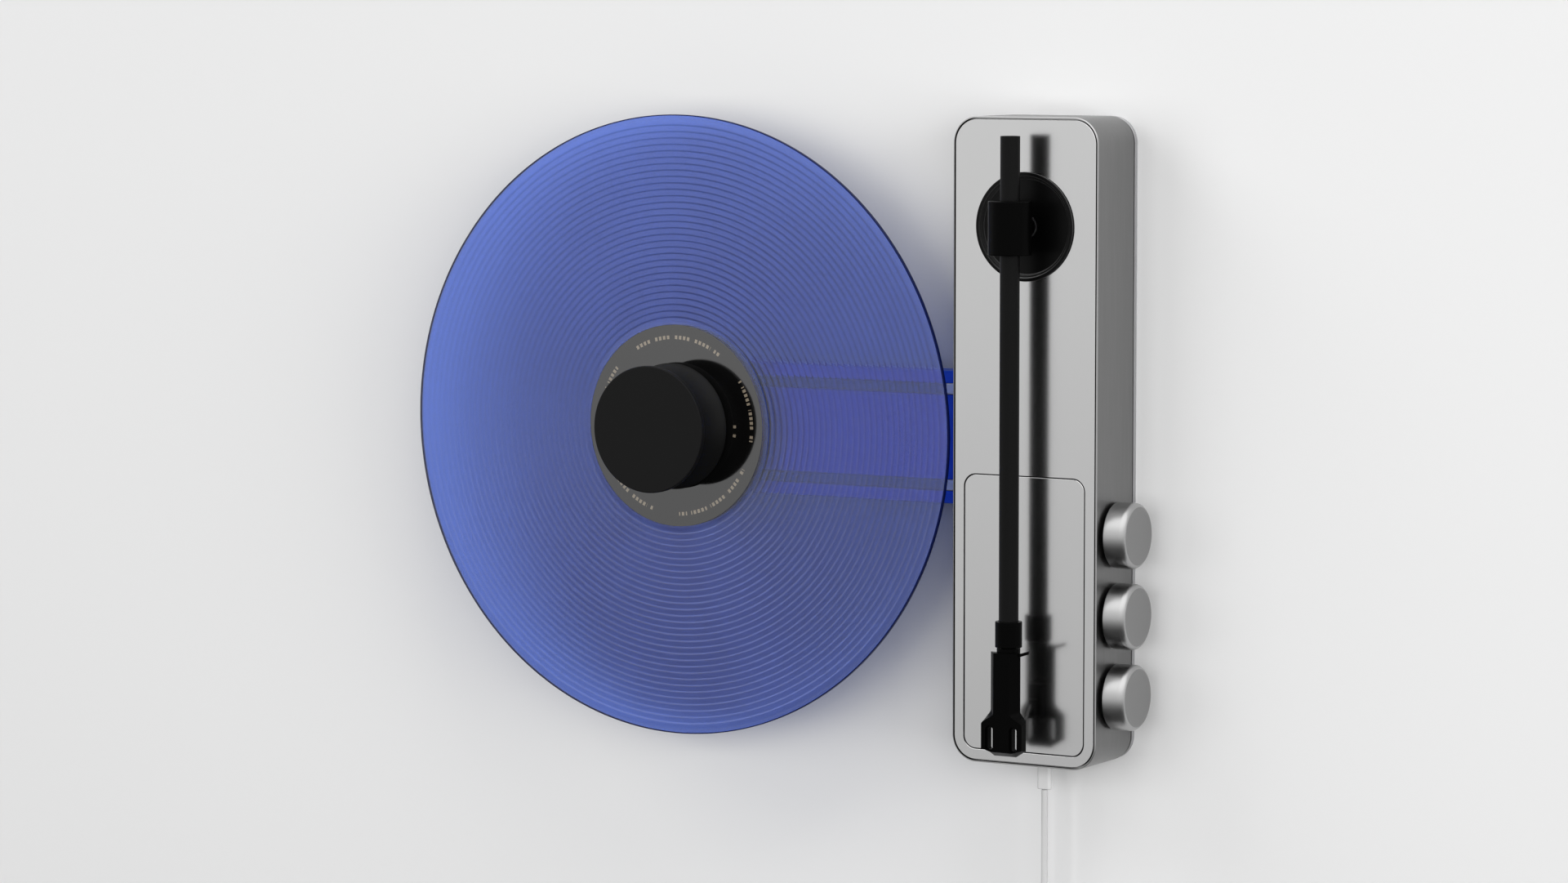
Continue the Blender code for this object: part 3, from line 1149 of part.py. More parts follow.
def make_arm_mount(root):
    at = (0.0, PIVOT_UP, 0.0)
    bearing_bore = ARM_BEARING_RADIUS + SEAT
    dish_floor = FLANGE_DISH_OUT - FLANGE_DISH_FLOOR
    profile = ((bearing_bore, FLANGE_BACK), (bearing_bore, dish_floor), (FLANGE_MOUTH_RADIUS, dish_floor),
               (FLANGE_MOUTH_RADIUS, FLANGE_DISH_OUT), (FLANGE_DISH_RADIUS, FLANGE_DISH_OUT),
               (FLANGE_BEVEL_RADIUS, FLANGE_STEP_OUT), (FLANGE_STEP_RADIUS, FLANGE_STEP_OUT),
               (FLANGE_RIM_INNER, FLANGE_PROUD), (FLANGE_RADIUS - FLANGE_RIM_EDGE, FLANGE_PROUD),
               (FLANGE_RADIUS, FLANGE_PROUD - FLANGE_RIM_EDGE), (FLANGE_RADIUS, SEAT),
               (FLANGE_BODY_RADIUS, SEAT), (FLANGE_BODY_RADIUS, FLANGE_BACK))
    mesh = bmesh.new()
    add_turned(mesh, profile, SIDES, closed=True)
    make("arm_flange", mesh, GLOSS_BLACK, root, at=at)
    nut = bmesh.new()
    nut_front = PLATE_BACK - SEAT
    add_ring(nut, RING_NUT_RADIUS, FLANGE_BODY_RADIUS + SEAT, nut_front - RING_NUT_THICKNESS, nut_front,
             INNER_SIDES)
    make("flange_ring_nut", nut, STEEL, root, at=at)
    bearing = bmesh.new()
    bearing_front = dish_floor - SEAT
    add_ring(bearing, ARM_BEARING_RADIUS, POST_RADIUS + SEAT, bearing_front - ARM_BEARING_LENGTH,
             bearing_front, SMALL_SIDES)
    make("arm_bearing", bearing, STEEL, root, at=at)


def make_arm_post(post):
    at = post.at
    foot_back = FLANGE_DISH_OUT + SEAT
    mesh = bmesh.new()
    add_turned(mesh, ((0.0, POST_BACK), (POST_RADIUS, POST_BACK), (POST_RADIUS, foot_back),
                      (POST_FOOT_RADIUS, foot_back), (POST_FOOT_RADIUS, POST_FOOT_OUT), (0.0, POST_FOOT_OUT)),
               SMALL_SIDES)
    piece = make("arm_post", mesh, BLACK_ALUMINIUM, post, at=at)
    tongue = bmesh.new()
    add_box(tongue, (-TONGUE_WIDTH / 2, -TONGUE_HEIGHT / 2, POST_FOOT_OUT - SLEEVE_SLOT_SLACK),
            (TONGUE_WIDTH / 2, TONGUE_HEIGHT / 2, TONGUE_OUT))
    join(piece, tongue, post, at=at)
    hole = bmesh.new()
    add_cylinder(hole, TILT_PIN_RADIUS + SEAT, -TONGUE_WIDTH, TONGUE_WIDTH)
    cut(piece, hole, post, at=(at[0], at[1], TILT_OUT), along=ALONG_RIGHT)
    nut = bmesh.new()
    nut_front = FLANGE_BACK - SEAT
    add_ring(nut, POST_NUT_RADIUS, POST_RADIUS + SEAT, nut_front - POST_NUT_THICKNESS, nut_front, SMALL_SIDES)
    make("post_nut", nut, BRASS, post, at=at)
    pin = bmesh.new()
    add_cylinder(pin, TILT_PIN_RADIUS, -TILT_PIN_LENGTH / 2, TILT_PIN_LENGTH / 2, TINY_SIDES)
    make("tilt_pin", pin, STEEL, post, at=(at[0], at[1], TILT_OUT), along=ALONG_RIGHT)


def make_arm_tube(arm):
    axis = (0.0, PIVOT_UP, TUBE_OUT)
    half = SLEEVE_LENGTH / 2
    bore = TUBE_RADIUS + SEAT
    mesh = bmesh.new()
    add_turned(mesh, ((bore, -half), (SLEEVE_RADIUS - SLEEVE_EDGE, -half),
                      (SLEEVE_RADIUS, SLEEVE_EDGE - half), (SLEEVE_RADIUS, half - SLEEVE_EDGE),
                      (SLEEVE_RADIUS - SLEEVE_EDGE, half), (bore, half)), SIDES, closed=True)
    sleeve = make("arm_sleeve", mesh, MATT_BLACK, arm, at=axis, along=ALONG_UP)
    cuts = bmesh.new()
    half_x = TONGUE_WIDTH / 2 + SEAT
    half_up = TONGUE_HEIGHT / 2 + SLEEVE_SLOT_SLACK
    add_box(cuts, (-half_x, PIVOT_UP - half_up, TUBE_OUT - SLEEVE_RADIUS - OVERRUN),
            (half_x, PIVOT_UP + half_up, TONGUE_OUT + SLEEVE_SLOT_SLACK))
    cut(sleeve, cuts, arm)
    hole = bmesh.new()
    add_cylinder(hole, TILT_PIN_RADIUS + SEAT, -SLEEVE_RADIUS - OVERRUN, SLEEVE_RADIUS + OVERRUN)
    cut(sleeve, hole, arm, at=(0.0, PIVOT_UP, TILT_OUT), along=ALONG_RIGHT)

    at = (0.0, 0.0, TUBE_OUT)
    tail = PIVOT_UP + TUBE_TAIL
    tube = bmesh.new()
    add_ring(tube, TUBE_RADIUS, TUBE_RADIUS - TUBE_WALL, NOSE_UP + TUBE_END_ABOVE_NOSE, tail, SMALL_SIDES)
    make("arm_tube", tube, MATT_BLACK, arm, at=at, along=ALONG_UP)
    slug = bmesh.new()
    slug_top = tail - SLUG_RECESS
    add_cylinder(slug, TUBE_RADIUS - TUBE_WALL - SEAT, slug_top - SLUG_LENGTH, slug_top, SMALL_SIDES)
    make("counterweight_slug", slug, BLACK_ALUMINIUM, arm, at=at, along=ALONG_UP)


def make_locking_collar(collar):
    outer, bore, edge = COLLAR_RADIUS, TUBE_RADIUS + SEAT, COLLAR_EDGE
    end = COLLAR_TOP - COLLAR_LENGTH
    mesh = bmesh.new()
    add_turned(mesh, ((bore, end), (outer - edge, end), (outer, end + edge), (outer, COLLAR_TOP - edge),
                      (outer - edge, COLLAR_TOP), (bore, COLLAR_TOP)), SMALL_SIDES, closed=True)
    make("locking_collar", mesh, MATT_BLACK, collar, at=(0.0, 0.0, TUBE_OUT), along=ALONG_UP)


def head_outline(stem_chamfer, nose_lift):
    """Outline of the headshell, from its top right corner round to its top left one."""
    stem = STEM_HALF_WIDTH - stem_chamfer
    side = [(stem, STEM_TOP), (stem, FLARE_TOP)]
    for step in range(1, FLARE_STEPS):
        angle = math.pi / 2 * step / FLARE_STEPS
        side.append((HEAD_HALF_WIDTH - (HEAD_HALF_WIDTH - stem) * math.cos(angle),
                     FLARE_TOP + (FLARE_END - FLARE_TOP) * math.sin(angle)))
    side += [(HEAD_HALF_WIDTH, FLARE_END), (HEAD_HALF_WIDTH, NOSE_SIDE_END + nose_lift),
             (NOSE_HALF_WIDTH, nose_lift)]
    return side + [(-x, up) for x, up in reversed(side)]


def make_headshell(arm):
    full = head_outline(0.0, 0.0)
    mesh = bmesh.new()
    add_loft(mesh, [level(full, HEAD_BACK, up=NOSE_UP), level(full, HEAD_FRONT - STEM_CHAMFER, up=NOSE_UP),
                    level(head_outline(STEM_CHAMFER, NOSE_SLOPE), HEAD_FRONT, up=NOSE_UP)])
    headshell = make("headshell", mesh, MATT_BLACK, arm)
    neck_end = NECK_TOP - NECK_LENGTH
    spigot = TUBE_RADIUS - TUBE_WALL - SEAT
    socket = bmesh.new()
    add_turned(socket, ((0.0, SOCKET_TUBE_END), (SOCKET_TUBE_RADIUS - SOCKET_TUBE_EDGE, SOCKET_TUBE_END),
                        (SOCKET_TUBE_RADIUS, SOCKET_TUBE_END + SOCKET_TUBE_EDGE),
                        (SOCKET_TUBE_RADIUS, neck_end),
                        (NECK_RADIUS, neck_end), (NECK_RADIUS, NECK_TOP), (spigot, NECK_TOP),
                        (spigot, SPIGOT_TOP), (0.0, SPIGOT_TOP)), SMALL_SIDES)
    join(headshell, socket, arm, at=(0.0, NOSE_UP, TUBE_OUT), along=ALONG_UP)
    slots = bmesh.new()
    slot = rounded(HEAD_SLOT_WIDTH, HEAD_SLOT_TOP - HEAD_SLOT_END, HEAD_SLOT_WIDTH * 0.49)
    for side in (-1, 1):
        up = NOSE_UP + (HEAD_SLOT_TOP + HEAD_SLOT_END) / 2
        add_loft(slots, [level(slot, HEAD_BACK - OVERRUN, side * HEAD_SLOT_X, up),
                         level(slot, HEAD_FRONT + OVERRUN, side * HEAD_SLOT_X, up)])
    cut(headshell, slots, arm)

    finger = bmesh.new()
    start = STEM_HALF_WIDTH + SEAT
    end = start + FINGER_REACH
    corners = ((-1, -1), (1, -1), (1, 1), (-1, 1))
    half_up, half_out = FINGER_HEIGHT / 2, FINGER_THICKNESS / 2
    add_loft(finger, [[(x, side_up * share * half_up, side_out * share * half_out)
                       for side_up, side_out in corners] for x, share in ((start, 1.0), (end, FINGER_TIP_SHARE))])
    make("finger_lift", finger, MATT_BLACK, arm, at=(0.0, NOSE_UP + FINGER_UP, FINGER_OUT))


def make_cartridge(arm):
    def rectangle(half_width, top, end):
        return [(half_width, top), (half_width, end), (-half_width, end), (-half_width, top)]

    body = rectangle(CARTRIDGE_HALF_WIDTH, CARTRIDGE_TOP, CARTRIDGE_END)
    holder = rectangle(HOLDER_HALF_WIDTH, HOLDER_TOP, HOLDER_END)
    mesh = bmesh.new()
    add_loft(mesh, [level(body, HEAD_BACK - SEAT), level(body, CARTRIDGE_BACK), level(holder, CARTRIDGE_BACK),
                    level(holder, HOLDER_BACK)])
    make("cartridge_body", mesh, MATT_BLACK, arm, at=(0.0, NOSE_UP, 0.0))

    stylus = bmesh.new()
    half, tip = STYLUS_HALF_WIDTH, STYLUS_TIP_HALF_WIDTH
    rings = []
    for up, out, reach, rise, lift in ((STYLUS_ROOT_UP, HOLDER_BACK - SEAT - half, half, 0.0, half),
                                       (STYLUS_UP, STYLUS_BEND_OUT, half, half, 0.0),
                                       (STYLUS_UP, STYLUS_TIP_OUT, tip, tip, 0.0)):
        rings.append([(-reach, up + rise, out - lift), (reach, up + rise, out - lift),
                      (reach, up - rise, out + lift), (-reach, up - rise, out + lift)])
    add_loft(stylus, rings)
    make("stylus_arm", stylus, STEEL, arm, at=(0.0, NOSE_UP, 0.0))


def build():
    clear_scene()
    root = Body("front_plane")
    root.empty.location = (0.0, FRONT_Y, 0.0)
    root.empty.rotation_euler = (math.pi / 2, 0.0, 0.0)

    make_wall_plate(root)
    make_back_screws(root)
    make_tower_shell(root)
    make_face_plate(root)
    make_service_hatch(root)
    make_hatch_frame(root)
    make_main_board(root)
    make_power_socket(root)
    make_power_plug(root)
    make_cord(root)
    make_cord_tie(root)
    make_far_plug(root)
    make_knobs(root, make_controls(root))

    make_arm_beam(root)
    make_rails(root)
    make_root_block(root)
    make_motor_lead(root)
    make_hub(root)
    make_stator(root)
    platter = Body("platter_axis", (SPINDLE_X, 0.0, 0.0), root)
    make_platter(platter)
    make_record(platter)
    make_clamp(Body("clamp_slide", platter.at, platter))

    make_arm_mount(root)
    post = Body("tonearm_swing_axis", (0.0, PIVOT_UP, 0.0), root)
    make_arm_post(post)
    arm = Body("tonearm_lift_axis", (0.0, PIVOT_UP, TILT_OUT), post)
    make_arm_tube(arm)
    make_headshell(arm)
    make_cartridge(arm)
    make_locking_collar(Body("collar_axis", (0.0, COLLAR_TOP, TUBE_OUT), arm))


build()
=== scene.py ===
"""Visual model of a wall turntable: tower, platter arm, record, clamp, tonearm, knobs and cord.

Lengths are in metres. Shapes are worked out in the front frame, with x to the right, y up and z out
from the tower's front, and are turned into the world, where +Z is up and the wall is the plane Y = 0.
"""

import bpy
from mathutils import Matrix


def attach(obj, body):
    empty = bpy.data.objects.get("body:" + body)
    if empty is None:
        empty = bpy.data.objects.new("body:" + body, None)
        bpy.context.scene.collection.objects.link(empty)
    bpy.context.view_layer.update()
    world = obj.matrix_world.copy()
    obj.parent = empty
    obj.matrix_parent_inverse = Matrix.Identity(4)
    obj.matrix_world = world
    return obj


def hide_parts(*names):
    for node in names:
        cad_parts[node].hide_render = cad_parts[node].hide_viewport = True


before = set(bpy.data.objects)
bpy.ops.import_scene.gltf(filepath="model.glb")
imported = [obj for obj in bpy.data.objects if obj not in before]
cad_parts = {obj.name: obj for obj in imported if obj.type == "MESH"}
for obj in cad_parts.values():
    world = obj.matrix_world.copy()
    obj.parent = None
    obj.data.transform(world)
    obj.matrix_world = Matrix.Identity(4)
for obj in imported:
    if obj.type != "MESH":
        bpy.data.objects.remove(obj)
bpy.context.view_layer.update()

import logging
import math
from collections.abc import Callable, Mapping, Sequence
from dataclasses import dataclass, field
from enum import Enum
from functools import cache

import bmesh
import bpy
import numpy as np
from mathutils import Matrix, Vector

log = logging.getLogger("turntable")

Colour = tuple[float, float, float]
Place = tuple[float, float, float]
Pair = tuple[float, float]
Size = tuple[float, float, float]
Corners = Sequence[tuple[float, float, float]]
Piece = bpy.types.Object
Node = bpy.types.Node
Socket = bpy.types.NodeSocket
Input = float | tuple[float, ...] | Socket

FRONT_Y = -0.0411
SPINDLE_X = -0.1905
PIVOT_UP = 0.1010
TUBE_OUT = 0.0149
NOSE_UP = -0.1462
KNOB_UPS = (-0.0426, -0.0806, -0.1186)
KNOB_OUT = -0.0185
ARM_HEIGHT = 0.0632
SEAT = 0.0003
PAST = 0.0020
SAME_POINT = 1e-7
LEAST_RADIUS = 1e-5
SHARP_ANGLE = math.radians(28)
ORIGIN = (0.0, 0.0, 0.0)
SPINDLE = (SPINDLE_X, 0.0, 0.0)


class Axis(Enum):
    """Direction of a turned piece's axis in the front frame."""

    OUT = "out"
    UP = "up"
    RIGHT = "right"


class Operation(Enum):
    """What a tool shape does to a piece."""

    CUT = "DIFFERENCE"
    JOIN = "UNION"


# ---------------------------------------------------------------- shapes


def rounded_path(corners: Corners, steps: int = 4, loop: bool = False, support: float = 0.0002) -> np.ndarray:
    """Rounds the corners of a path with arcs.

    Each corner P with neighbours A and B gets the circle of its own radius that touches PA and PB:
    the touching points lie radius / tan(half the angle at P) from P. A further point stands a little
    before and after each arc, so that shading stays flat on the straight runs.

    Args:
        corners: two coordinates and a radius for each corner.
        steps: segments in each arc.
        loop: whether the last corner joins the first.
        support: distance of the further points from the arc.

    Returns:
        The points, as rows of two coordinates.
    """
    count = len(corners)
    points: list[np.ndarray] = []
    for index, (x, y, radius) in enumerate(corners):
        corner = np.array((x, y))
        inner = loop or 0 < index < count - 1
        if not inner or radius <= 0:
            points.append(corner[None])
            continue
        before = np.array(corners[index - 1][:2]) - corner
        after = np.array(corners[(index + 1) % count][:2]) - corner
        reach = min(np.linalg.norm(before), np.linalg.norm(after))
        before /= np.linalg.norm(before)
        after /= np.linalg.norm(after)
        half = math.acos(float(np.clip(before @ after, -1, 1))) / 2
        touch = radius / math.tan(half)
        middle = before + after
        centre = corner + middle / np.linalg.norm(middle) * radius / math.sin(half)
        first = corner + before * touch - centre
        last = corner + after * touch - centre
        sweep = math.pi - 2 * half
        share = np.linspace(0, 1, steps + 1)[:, None]
        arc = (first * np.sin(sweep * (1 - share)) + last * np.sin(sweep * share)) / math.sin(sweep)
        arc = centre + arc
        if touch + support < reach / 2:
            arc = np.vstack((corner + before * (touch + support), arc, corner + after * (touch + support)))
        points.append(arc)
    return np.vstack(points)


def rounded_rectangle(width: float, height: float, radius: float, steps: int = 16,
                      x: float = 0.0, up: float = 0.0) -> np.ndarray:
    """Outline of a rectangle with a quarter circle at each corner.

    Args:
        width: size along x.
        height: size along y.
        radius: corner radius.
        steps: segments in each corner.
        x: centre's x.
        up: centre's y.

    Returns:
        The outline's points, counterclockwise, as rows of x and y.
    """
    radius = max(radius, LEAST_RADIUS)
    angle = np.linspace(0, math.pi / 2, steps + 1)[None, :] + np.arange(4)[:, None] * math.pi / 2
    centre_x = (width / 2 - radius) * np.array((1, -1, -1, 1))[:, None]
    centre_y = (height / 2 - radius) * np.array((1, 1, -1, -1))[:, None]
    outline = np.stack((centre_x + radius * np.cos(angle), centre_y + radius * np.sin(angle)), axis=-1)
    return outline.reshape(-1, 2) + (x, up)


def layers(outlines: Sequence[np.ndarray], outs: Sequence[float]) -> np.ndarray:
    """Grid whose rows are outlines, each at its own distance out."""
    return np.stack([np.column_stack((outline, np.full(len(outline), out)))
                     for outline, out in zip(outlines, outs)])


def inset_layers(outline: Callable[[float], np.ndarray], profile: np.ndarray) -> np.ndarray:
    """Grid that carries a profile of (inset, out) rows round an outline that takes an inset."""
    return layers([outline(float(inset)) for inset in profile[:, 0]], profile[:, 1])


def turned(profile: np.ndarray, sides: int, axis: Axis = Axis.OUT, at: Place = ORIGIN) -> np.ndarray:
    """Surface of revolution: radius * cos and radius * sin of the turn angle, and the height along the axis.

    Args:
        profile: rows of radius and height.
        sides: segments round the axis.
        axis: the axis' direction.
        at: the axis' foot in the front frame.

    Returns:
        Grid of points in the front frame.
    """
    angle = np.arange(sides) * 2 * math.pi / sides
    across = profile[:, :1] * np.cos(angle)
    beside = profile[:, :1] * np.sin(angle)
    along = np.repeat(profile[:, 1:2], sides, axis=1)
    order = {Axis.OUT: (across, beside, along), Axis.UP: (across, along, -beside),
             Axis.RIGHT: (along, across, beside)}[axis]
    return np.stack(order, axis=-1) + np.array(at)


def to_world(points: np.ndarray) -> np.ndarray:
    """Turns front frame points (x, up, out) into world points (x, front - out, up)."""
    return np.stack((points[..., 0], FRONT_Y - points[..., 2], points[..., 1]), axis=-1)


def to_scene(name: str, data: bpy.types.ID) -> Piece:
    """Makes an object of a mesh, curve, camera or lamp and puts it in the scene."""
    item = bpy.data.objects.new(name, data)
    bpy.context.scene.collection.objects.link(item)
    return item


@dataclass
class Shape:
    """Closed surfaces gathered from grids, ready to become one mesh."""

    points: list[np.ndarray] = field(default_factory=list)
    faces: list[list[int]] = field(default_factory=list)
    count: int = 0

    def add(self, grid: np.ndarray, loop: bool = False) -> "Shape":
        """Adds a grid whose columns close round.

        Each cell between neighbouring rows and columns becomes a face.

        Args:
            grid: rows by columns by 3, in the front frame.
            loop: whether the last row joins the first, instead of both being capped.

        Returns:
            The shape itself.
        """
        rows, columns = grid.shape[:2]
        number = self.count + np.arange(rows * columns).reshape(rows, columns)
        low = number if loop else number[:-1]
        high = np.roll(number, -1, axis=0) if loop else number[1:]
        cells = np.stack((low, np.roll(low, -1, axis=1), np.roll(high, -1, axis=1), high), axis=-1)
        self.faces += cells.reshape(-1, 4).tolist()
        if not loop:
            ends = [(grid[0], number[0, ::-1]), (grid[-1], number[-1])]
            self.faces += [row.tolist() for ring, row in ends if np.ptp(ring, axis=0).max() > SAME_POINT]
        self.points.append(grid.reshape(-1, 3))
        self.count += rows * columns
        return self

    def plugs(self, radius: float, ends: Pair, places: Sequence[Pair], sides: int = 48) -> "Shape":
        """Adds a plug between two distances out at each place (x, up)."""
        for x, up in places:
            self.add(plug(radius, ends, sides, at=(x, up, 0.0)))
        return self

    def build(self, name: str) -> Piece:
        """Makes the mesh object: doubles merged, normals outwards, smooth with sharp creases."""
        mesh = bpy.data.meshes.new(name)
        mesh.from_pydata(to_world(np.vstack(self.points)).tolist(), [], self.faces)
        work = bmesh.new()
        work.from_mesh(mesh)
        bmesh.ops.remove_doubles(work, verts=work.verts, dist=SAME_POINT)
        bmesh.ops.recalc_face_normals(work, faces=work.faces)
        work.to_mesh(mesh)
        work.free()
        piece = to_scene(name, mesh)
        smooth(piece)
        return piece


def smooth(piece: Piece) -> None:
    """Shades a piece smooth, with creases kept sharp."""
    piece.data.shade_smooth()
    piece.data.set_sharp_from_angle(angle=SHARP_ANGLE)


def combine(piece: Piece, tool: Shape, operation: Operation = Operation.CUT) -> None:
    """Cuts a tool shape from a piece, or joins it on, and keeps the result as the piece's mesh."""
    other = tool.build("tool")
    modifier = piece.modifiers.new("combine", "BOOLEAN")
    modifier.object = other
    modifier.operation = operation.value
    modifier.solver = "EXACT"
    graph = bpy.context.evaluated_depsgraph_get()
    mesh = bpy.data.meshes.new_from_object(piece.evaluated_get(graph))
    piece.modifiers.clear()
    mesh.name = piece.name
    old, piece.data = piece.data, mesh
    bpy.data.meshes.remove(old)
    bpy.data.objects.remove(other)
    smooth(piece)


def lathe(name: str, profile: np.ndarray, sides: int, axis: Axis = Axis.OUT, at: Place = SPINDLE,
          loop: bool = True) -> Piece:
    """Builds a turned piece, about the spindle unless an axis is given."""
    return Shape().add(turned(profile, sides, axis, at), loop).build(name)


def plug(radius: float, ends: Pair, sides: int = 48, axis: Axis = Axis.OUT,
         at: Place = ORIGIN) -> np.ndarray:
    """Grid of a short turned plug between two heights, for cutting and joining."""
    return turned(np.array([(radius, end) for end in ends]), sides, axis, at)


def brick(low: Place, high: Place) -> np.ndarray:
    """Grid of a square sided block between two corners, for cutting."""
    square = rounded_rectangle(high[0] - low[0], high[1] - low[1], 0.0, 1,
                               (low[0] + high[0]) / 2, (low[1] + high[1]) / 2)
    return layers((square, square), (low[2], high[2]))


# ---------------------------------------------------------------- finishes


@dataclass
class Graph:
    """A node tree with short ways to add nodes. Inputs are numbers, tuples or other nodes' outputs."""

    tree: bpy.types.NodeTree

    def feed(self, node: Node, inputs: Mapping[str | int, Input]) -> None:
        """Sets or links a node's inputs, given by name or number. A colour gets an alpha of 1."""
        for key, value in inputs.items():
            entry = node.inputs[key]
            if isinstance(value, Socket):
                self.tree.links.new(value, entry)
            else:
                entry.default_value = (*value, 1.0) if entry.type == "RGBA" else value

    def add(self, kind: str, inputs: Mapping[str | int, Input] | None = None) -> Node:
        """Adds a node of a kind and feeds its inputs."""
        node = self.tree.nodes.new(kind)
        self.feed(node, inputs or {})
        return node

    def place(self) -> Socket:
        """The object's own coordinates."""
        return self.add("ShaderNodeTexCoord").outputs["Object"]

    def noise(self, vector: Input, scale: Input, detail: float = 2.0) -> Socket:
        """Noise from 0 to 1."""
        node = self.add("ShaderNodeTexNoise", {"Vector": vector, "Scale": scale, "Detail": detail})
        return node.outputs["Fac"]

    def maths(self, operation: str, *operands: Input) -> Socket:
        """Result of a sum on up to three operands."""
        node = self.tree.nodes.new("ShaderNodeMath")
        node.operation = operation
        self.feed(node, dict(enumerate(operands)))
        return node.outputs["Value"]

    def product(self, first: Input, *others: Input) -> Input:
        """The product of all the values."""
        for other in others:
            first = self.maths("MULTIPLY", first, other)
        return first

    def blend(self, share: Input, first: Input, second: Input, how: str = "MIX") -> Socket:
        """The first colour, with the second laid over it by a share."""
        node = self.tree.nodes.new("ShaderNodeMix")
        node.data_type = "RGBA"
        node.blend_type = how
        self.feed(node, {0: share, 6: first, 7: second})
        return node.outputs[2]

    def span(self, value: Input, low: Input, high: Input, start: float = 0.0, end: float = 1.0,
             easing: str = "LINEAR") -> Socket:
        """Draws a value that runs from start to end out to the range from low to high."""
        node = self.add("ShaderNodeMapRange", {"Value": value, "From Min": start, "From Max": end,
                                               "To Min": low, "To Max": high})
        node.interpolation_type = easing
        return node.outputs["Result"]

    def show(self, share: Input, first: Node, second: Node, output: str = "Material Output") -> None:
        """Makes the tree's output the first shader, with the second mixed in by a share."""
        mixer = self.add("ShaderNodeMixShader", {"Fac": share, 1: first.outputs[0], 2: second.outputs[0]})
        self.feed(self.tree.nodes[output], {"Surface": mixer.outputs["Shader"]})


def new_material(name: str) -> tuple[bpy.types.Material, Graph, Node]:
    """Makes a material and gives it with its graph and its shader."""
    material = bpy.data.materials.new(name)
    material.use_nodes = True
    return material, Graph(material.node_tree), material.node_tree.nodes["Principled BSDF"]


@cache
def grain_group() -> bpy.types.NodeTree:
    """Group for a grained surface: two tones, a span of roughness and a fine relief.

    Fine and broad noise together choose the tone, the broad noise the roughness and the fine the relief.
    """
    fine_detail, broad_scale, broad_detail, broad_share, broad_ends = 3.0, 14.0, 4.0, 0.4, (0.3, 0.7)
    tree = bpy.data.node_groups.new("fine_grain", "ShaderNodeTree")
    for way, kind, labels in (("INPUT", "NodeSocketVector", ("Vector",)),
                              ("INPUT", "NodeSocketFloat", ("Scale", "Smoothest", "Roughest", "Relief")),
                              ("INPUT", "NodeSocketColor", ("Tone A", "Tone B")),
                              ("OUTPUT", "NodeSocketColor", ("Colour",)),
                              ("OUTPUT", "NodeSocketFloat", ("Roughness",)),
                              ("OUTPUT", "NodeSocketVector", ("Normal",))):
        for label in labels:
            tree.interface.new_socket(name=label, in_out=way, socket_type=kind)
    graph = Graph(tree)
    given = graph.add("NodeGroupInput").outputs
    fine = graph.noise(given["Vector"], given["Scale"], fine_detail)
    broad = graph.noise(given["Vector"], broad_scale, broad_detail)
    mixed = graph.add("ShaderNodeMix", {0: broad_share, 2: fine, 3: broad}).outputs[0]
    bump = graph.add("ShaderNodeBump", {"Strength": 1.0, "Distance": given["Relief"], "Height": fine})
    graph.add("NodeGroupOutput", {
        "Colour": graph.blend(mixed, given["Tone A"], given["Tone B"]),
        "Roughness": graph.span(broad, given["Smoothest"], given["Roughest"], *broad_ends),
        "Normal": bump.outputs["Normal"]})
    return tree


@dataclass(frozen=True)
class Finish:
    """Paint, metal, plastic or rubber with a fine grain.

    The stretch scales the grain's coordinates, so that a small value draws it out into brush lines.
    """

    name: str
    tone_a: Colour
    tone_b: Colour
    roughness: Pair
    metallic: float = 0.0
    scale: float = 900.0
    relief: float = 0.00001
    stretch: Place = (1.0, 1.0, 1.0)
    coat: float = 0.0
    coat_roughness: float = 0.1
    ior: float = 1.5
    specular: float = 0.5

    def build(self) -> bpy.types.Material:
        """Makes the material, or finds it if it is there."""
        if self.name in bpy.data.materials:
            return bpy.data.materials[self.name]
        material, graph, shader = new_material(self.name)
        mapping = graph.add("ShaderNodeMapping", {"Vector": graph.place(), "Scale": self.stretch})
        grain = graph.tree.nodes.new("ShaderNodeGroup")
        grain.node_tree = grain_group()
        graph.feed(grain, {"Vector": mapping.outputs["Vector"], "Scale": self.scale,
                           "Tone A": self.tone_a, "Tone B": self.tone_b, "Smoothest": self.roughness[0],
                           "Roughest": self.roughness[1], "Relief": self.relief})
        graph.feed(shader, {"Metallic": self.metallic, "Coat Weight": self.coat,
                            "Coat Roughness": self.coat_roughness, "IOR": self.ior,
                            "Specular IOR Level": self.specular, "Base Color": grain.outputs["Colour"],
                            "Roughness": grain.outputs["Roughness"], "Normal": grain.outputs["Normal"]})
        return material


def grey(value: float, share: float = 0.12) -> tuple[Colour, Colour]:
    """Two neutral tones that lie a share below and above a value."""
    return (value * (1 - share),) * 3, (value * (1 + share),) * 3


SIDE_METAL = Finish("side_metal", *grey(0.225), (0.30, 0.38), 1.0, 700.0, 0.000004, (1.0, 1.0, 0.04))
PLATE_METAL = Finish("plate_metal", *grey(0.63, 0.02), (0.170, 0.190), 1.0, 500.0, 0.0)
KNOB_METAL = Finish("knob_metal", *grey(0.44, 0.06), (0.30, 0.36), 1.0, 2200.0, 0.000008)
# A darker copy of the knob metal for the end faces: painted shade of the side turned away from the light.
KNOB_END_PAINTED_SHADE = Finish("knob_end_painted_shade", *grey(0.30, 0.06), (0.32, 0.38), 1.0, 2200.0, 0.000008)
# The rails' metal darkened as painted shade where it lies behind the record; the bright end beyond is its own
# tone.
RAIL_PAINTED_SHADE = Finish("rail_painted_shade", *grey(0.10, 0.06), (0.36, 0.42), 0.4, 700.0, 0.000004, (0.04, 1.0, 1.0))
RAIL_END = Finish("rail_end", *grey(0.62, 0.06), (0.36, 0.42), 0.2, 700.0, 0.000004, (0.04, 1.0, 1.0))
STEEL = Finish("steel", *grey(0.42), (0.22, 0.34), 1.0, 1500.0, 0.000004)
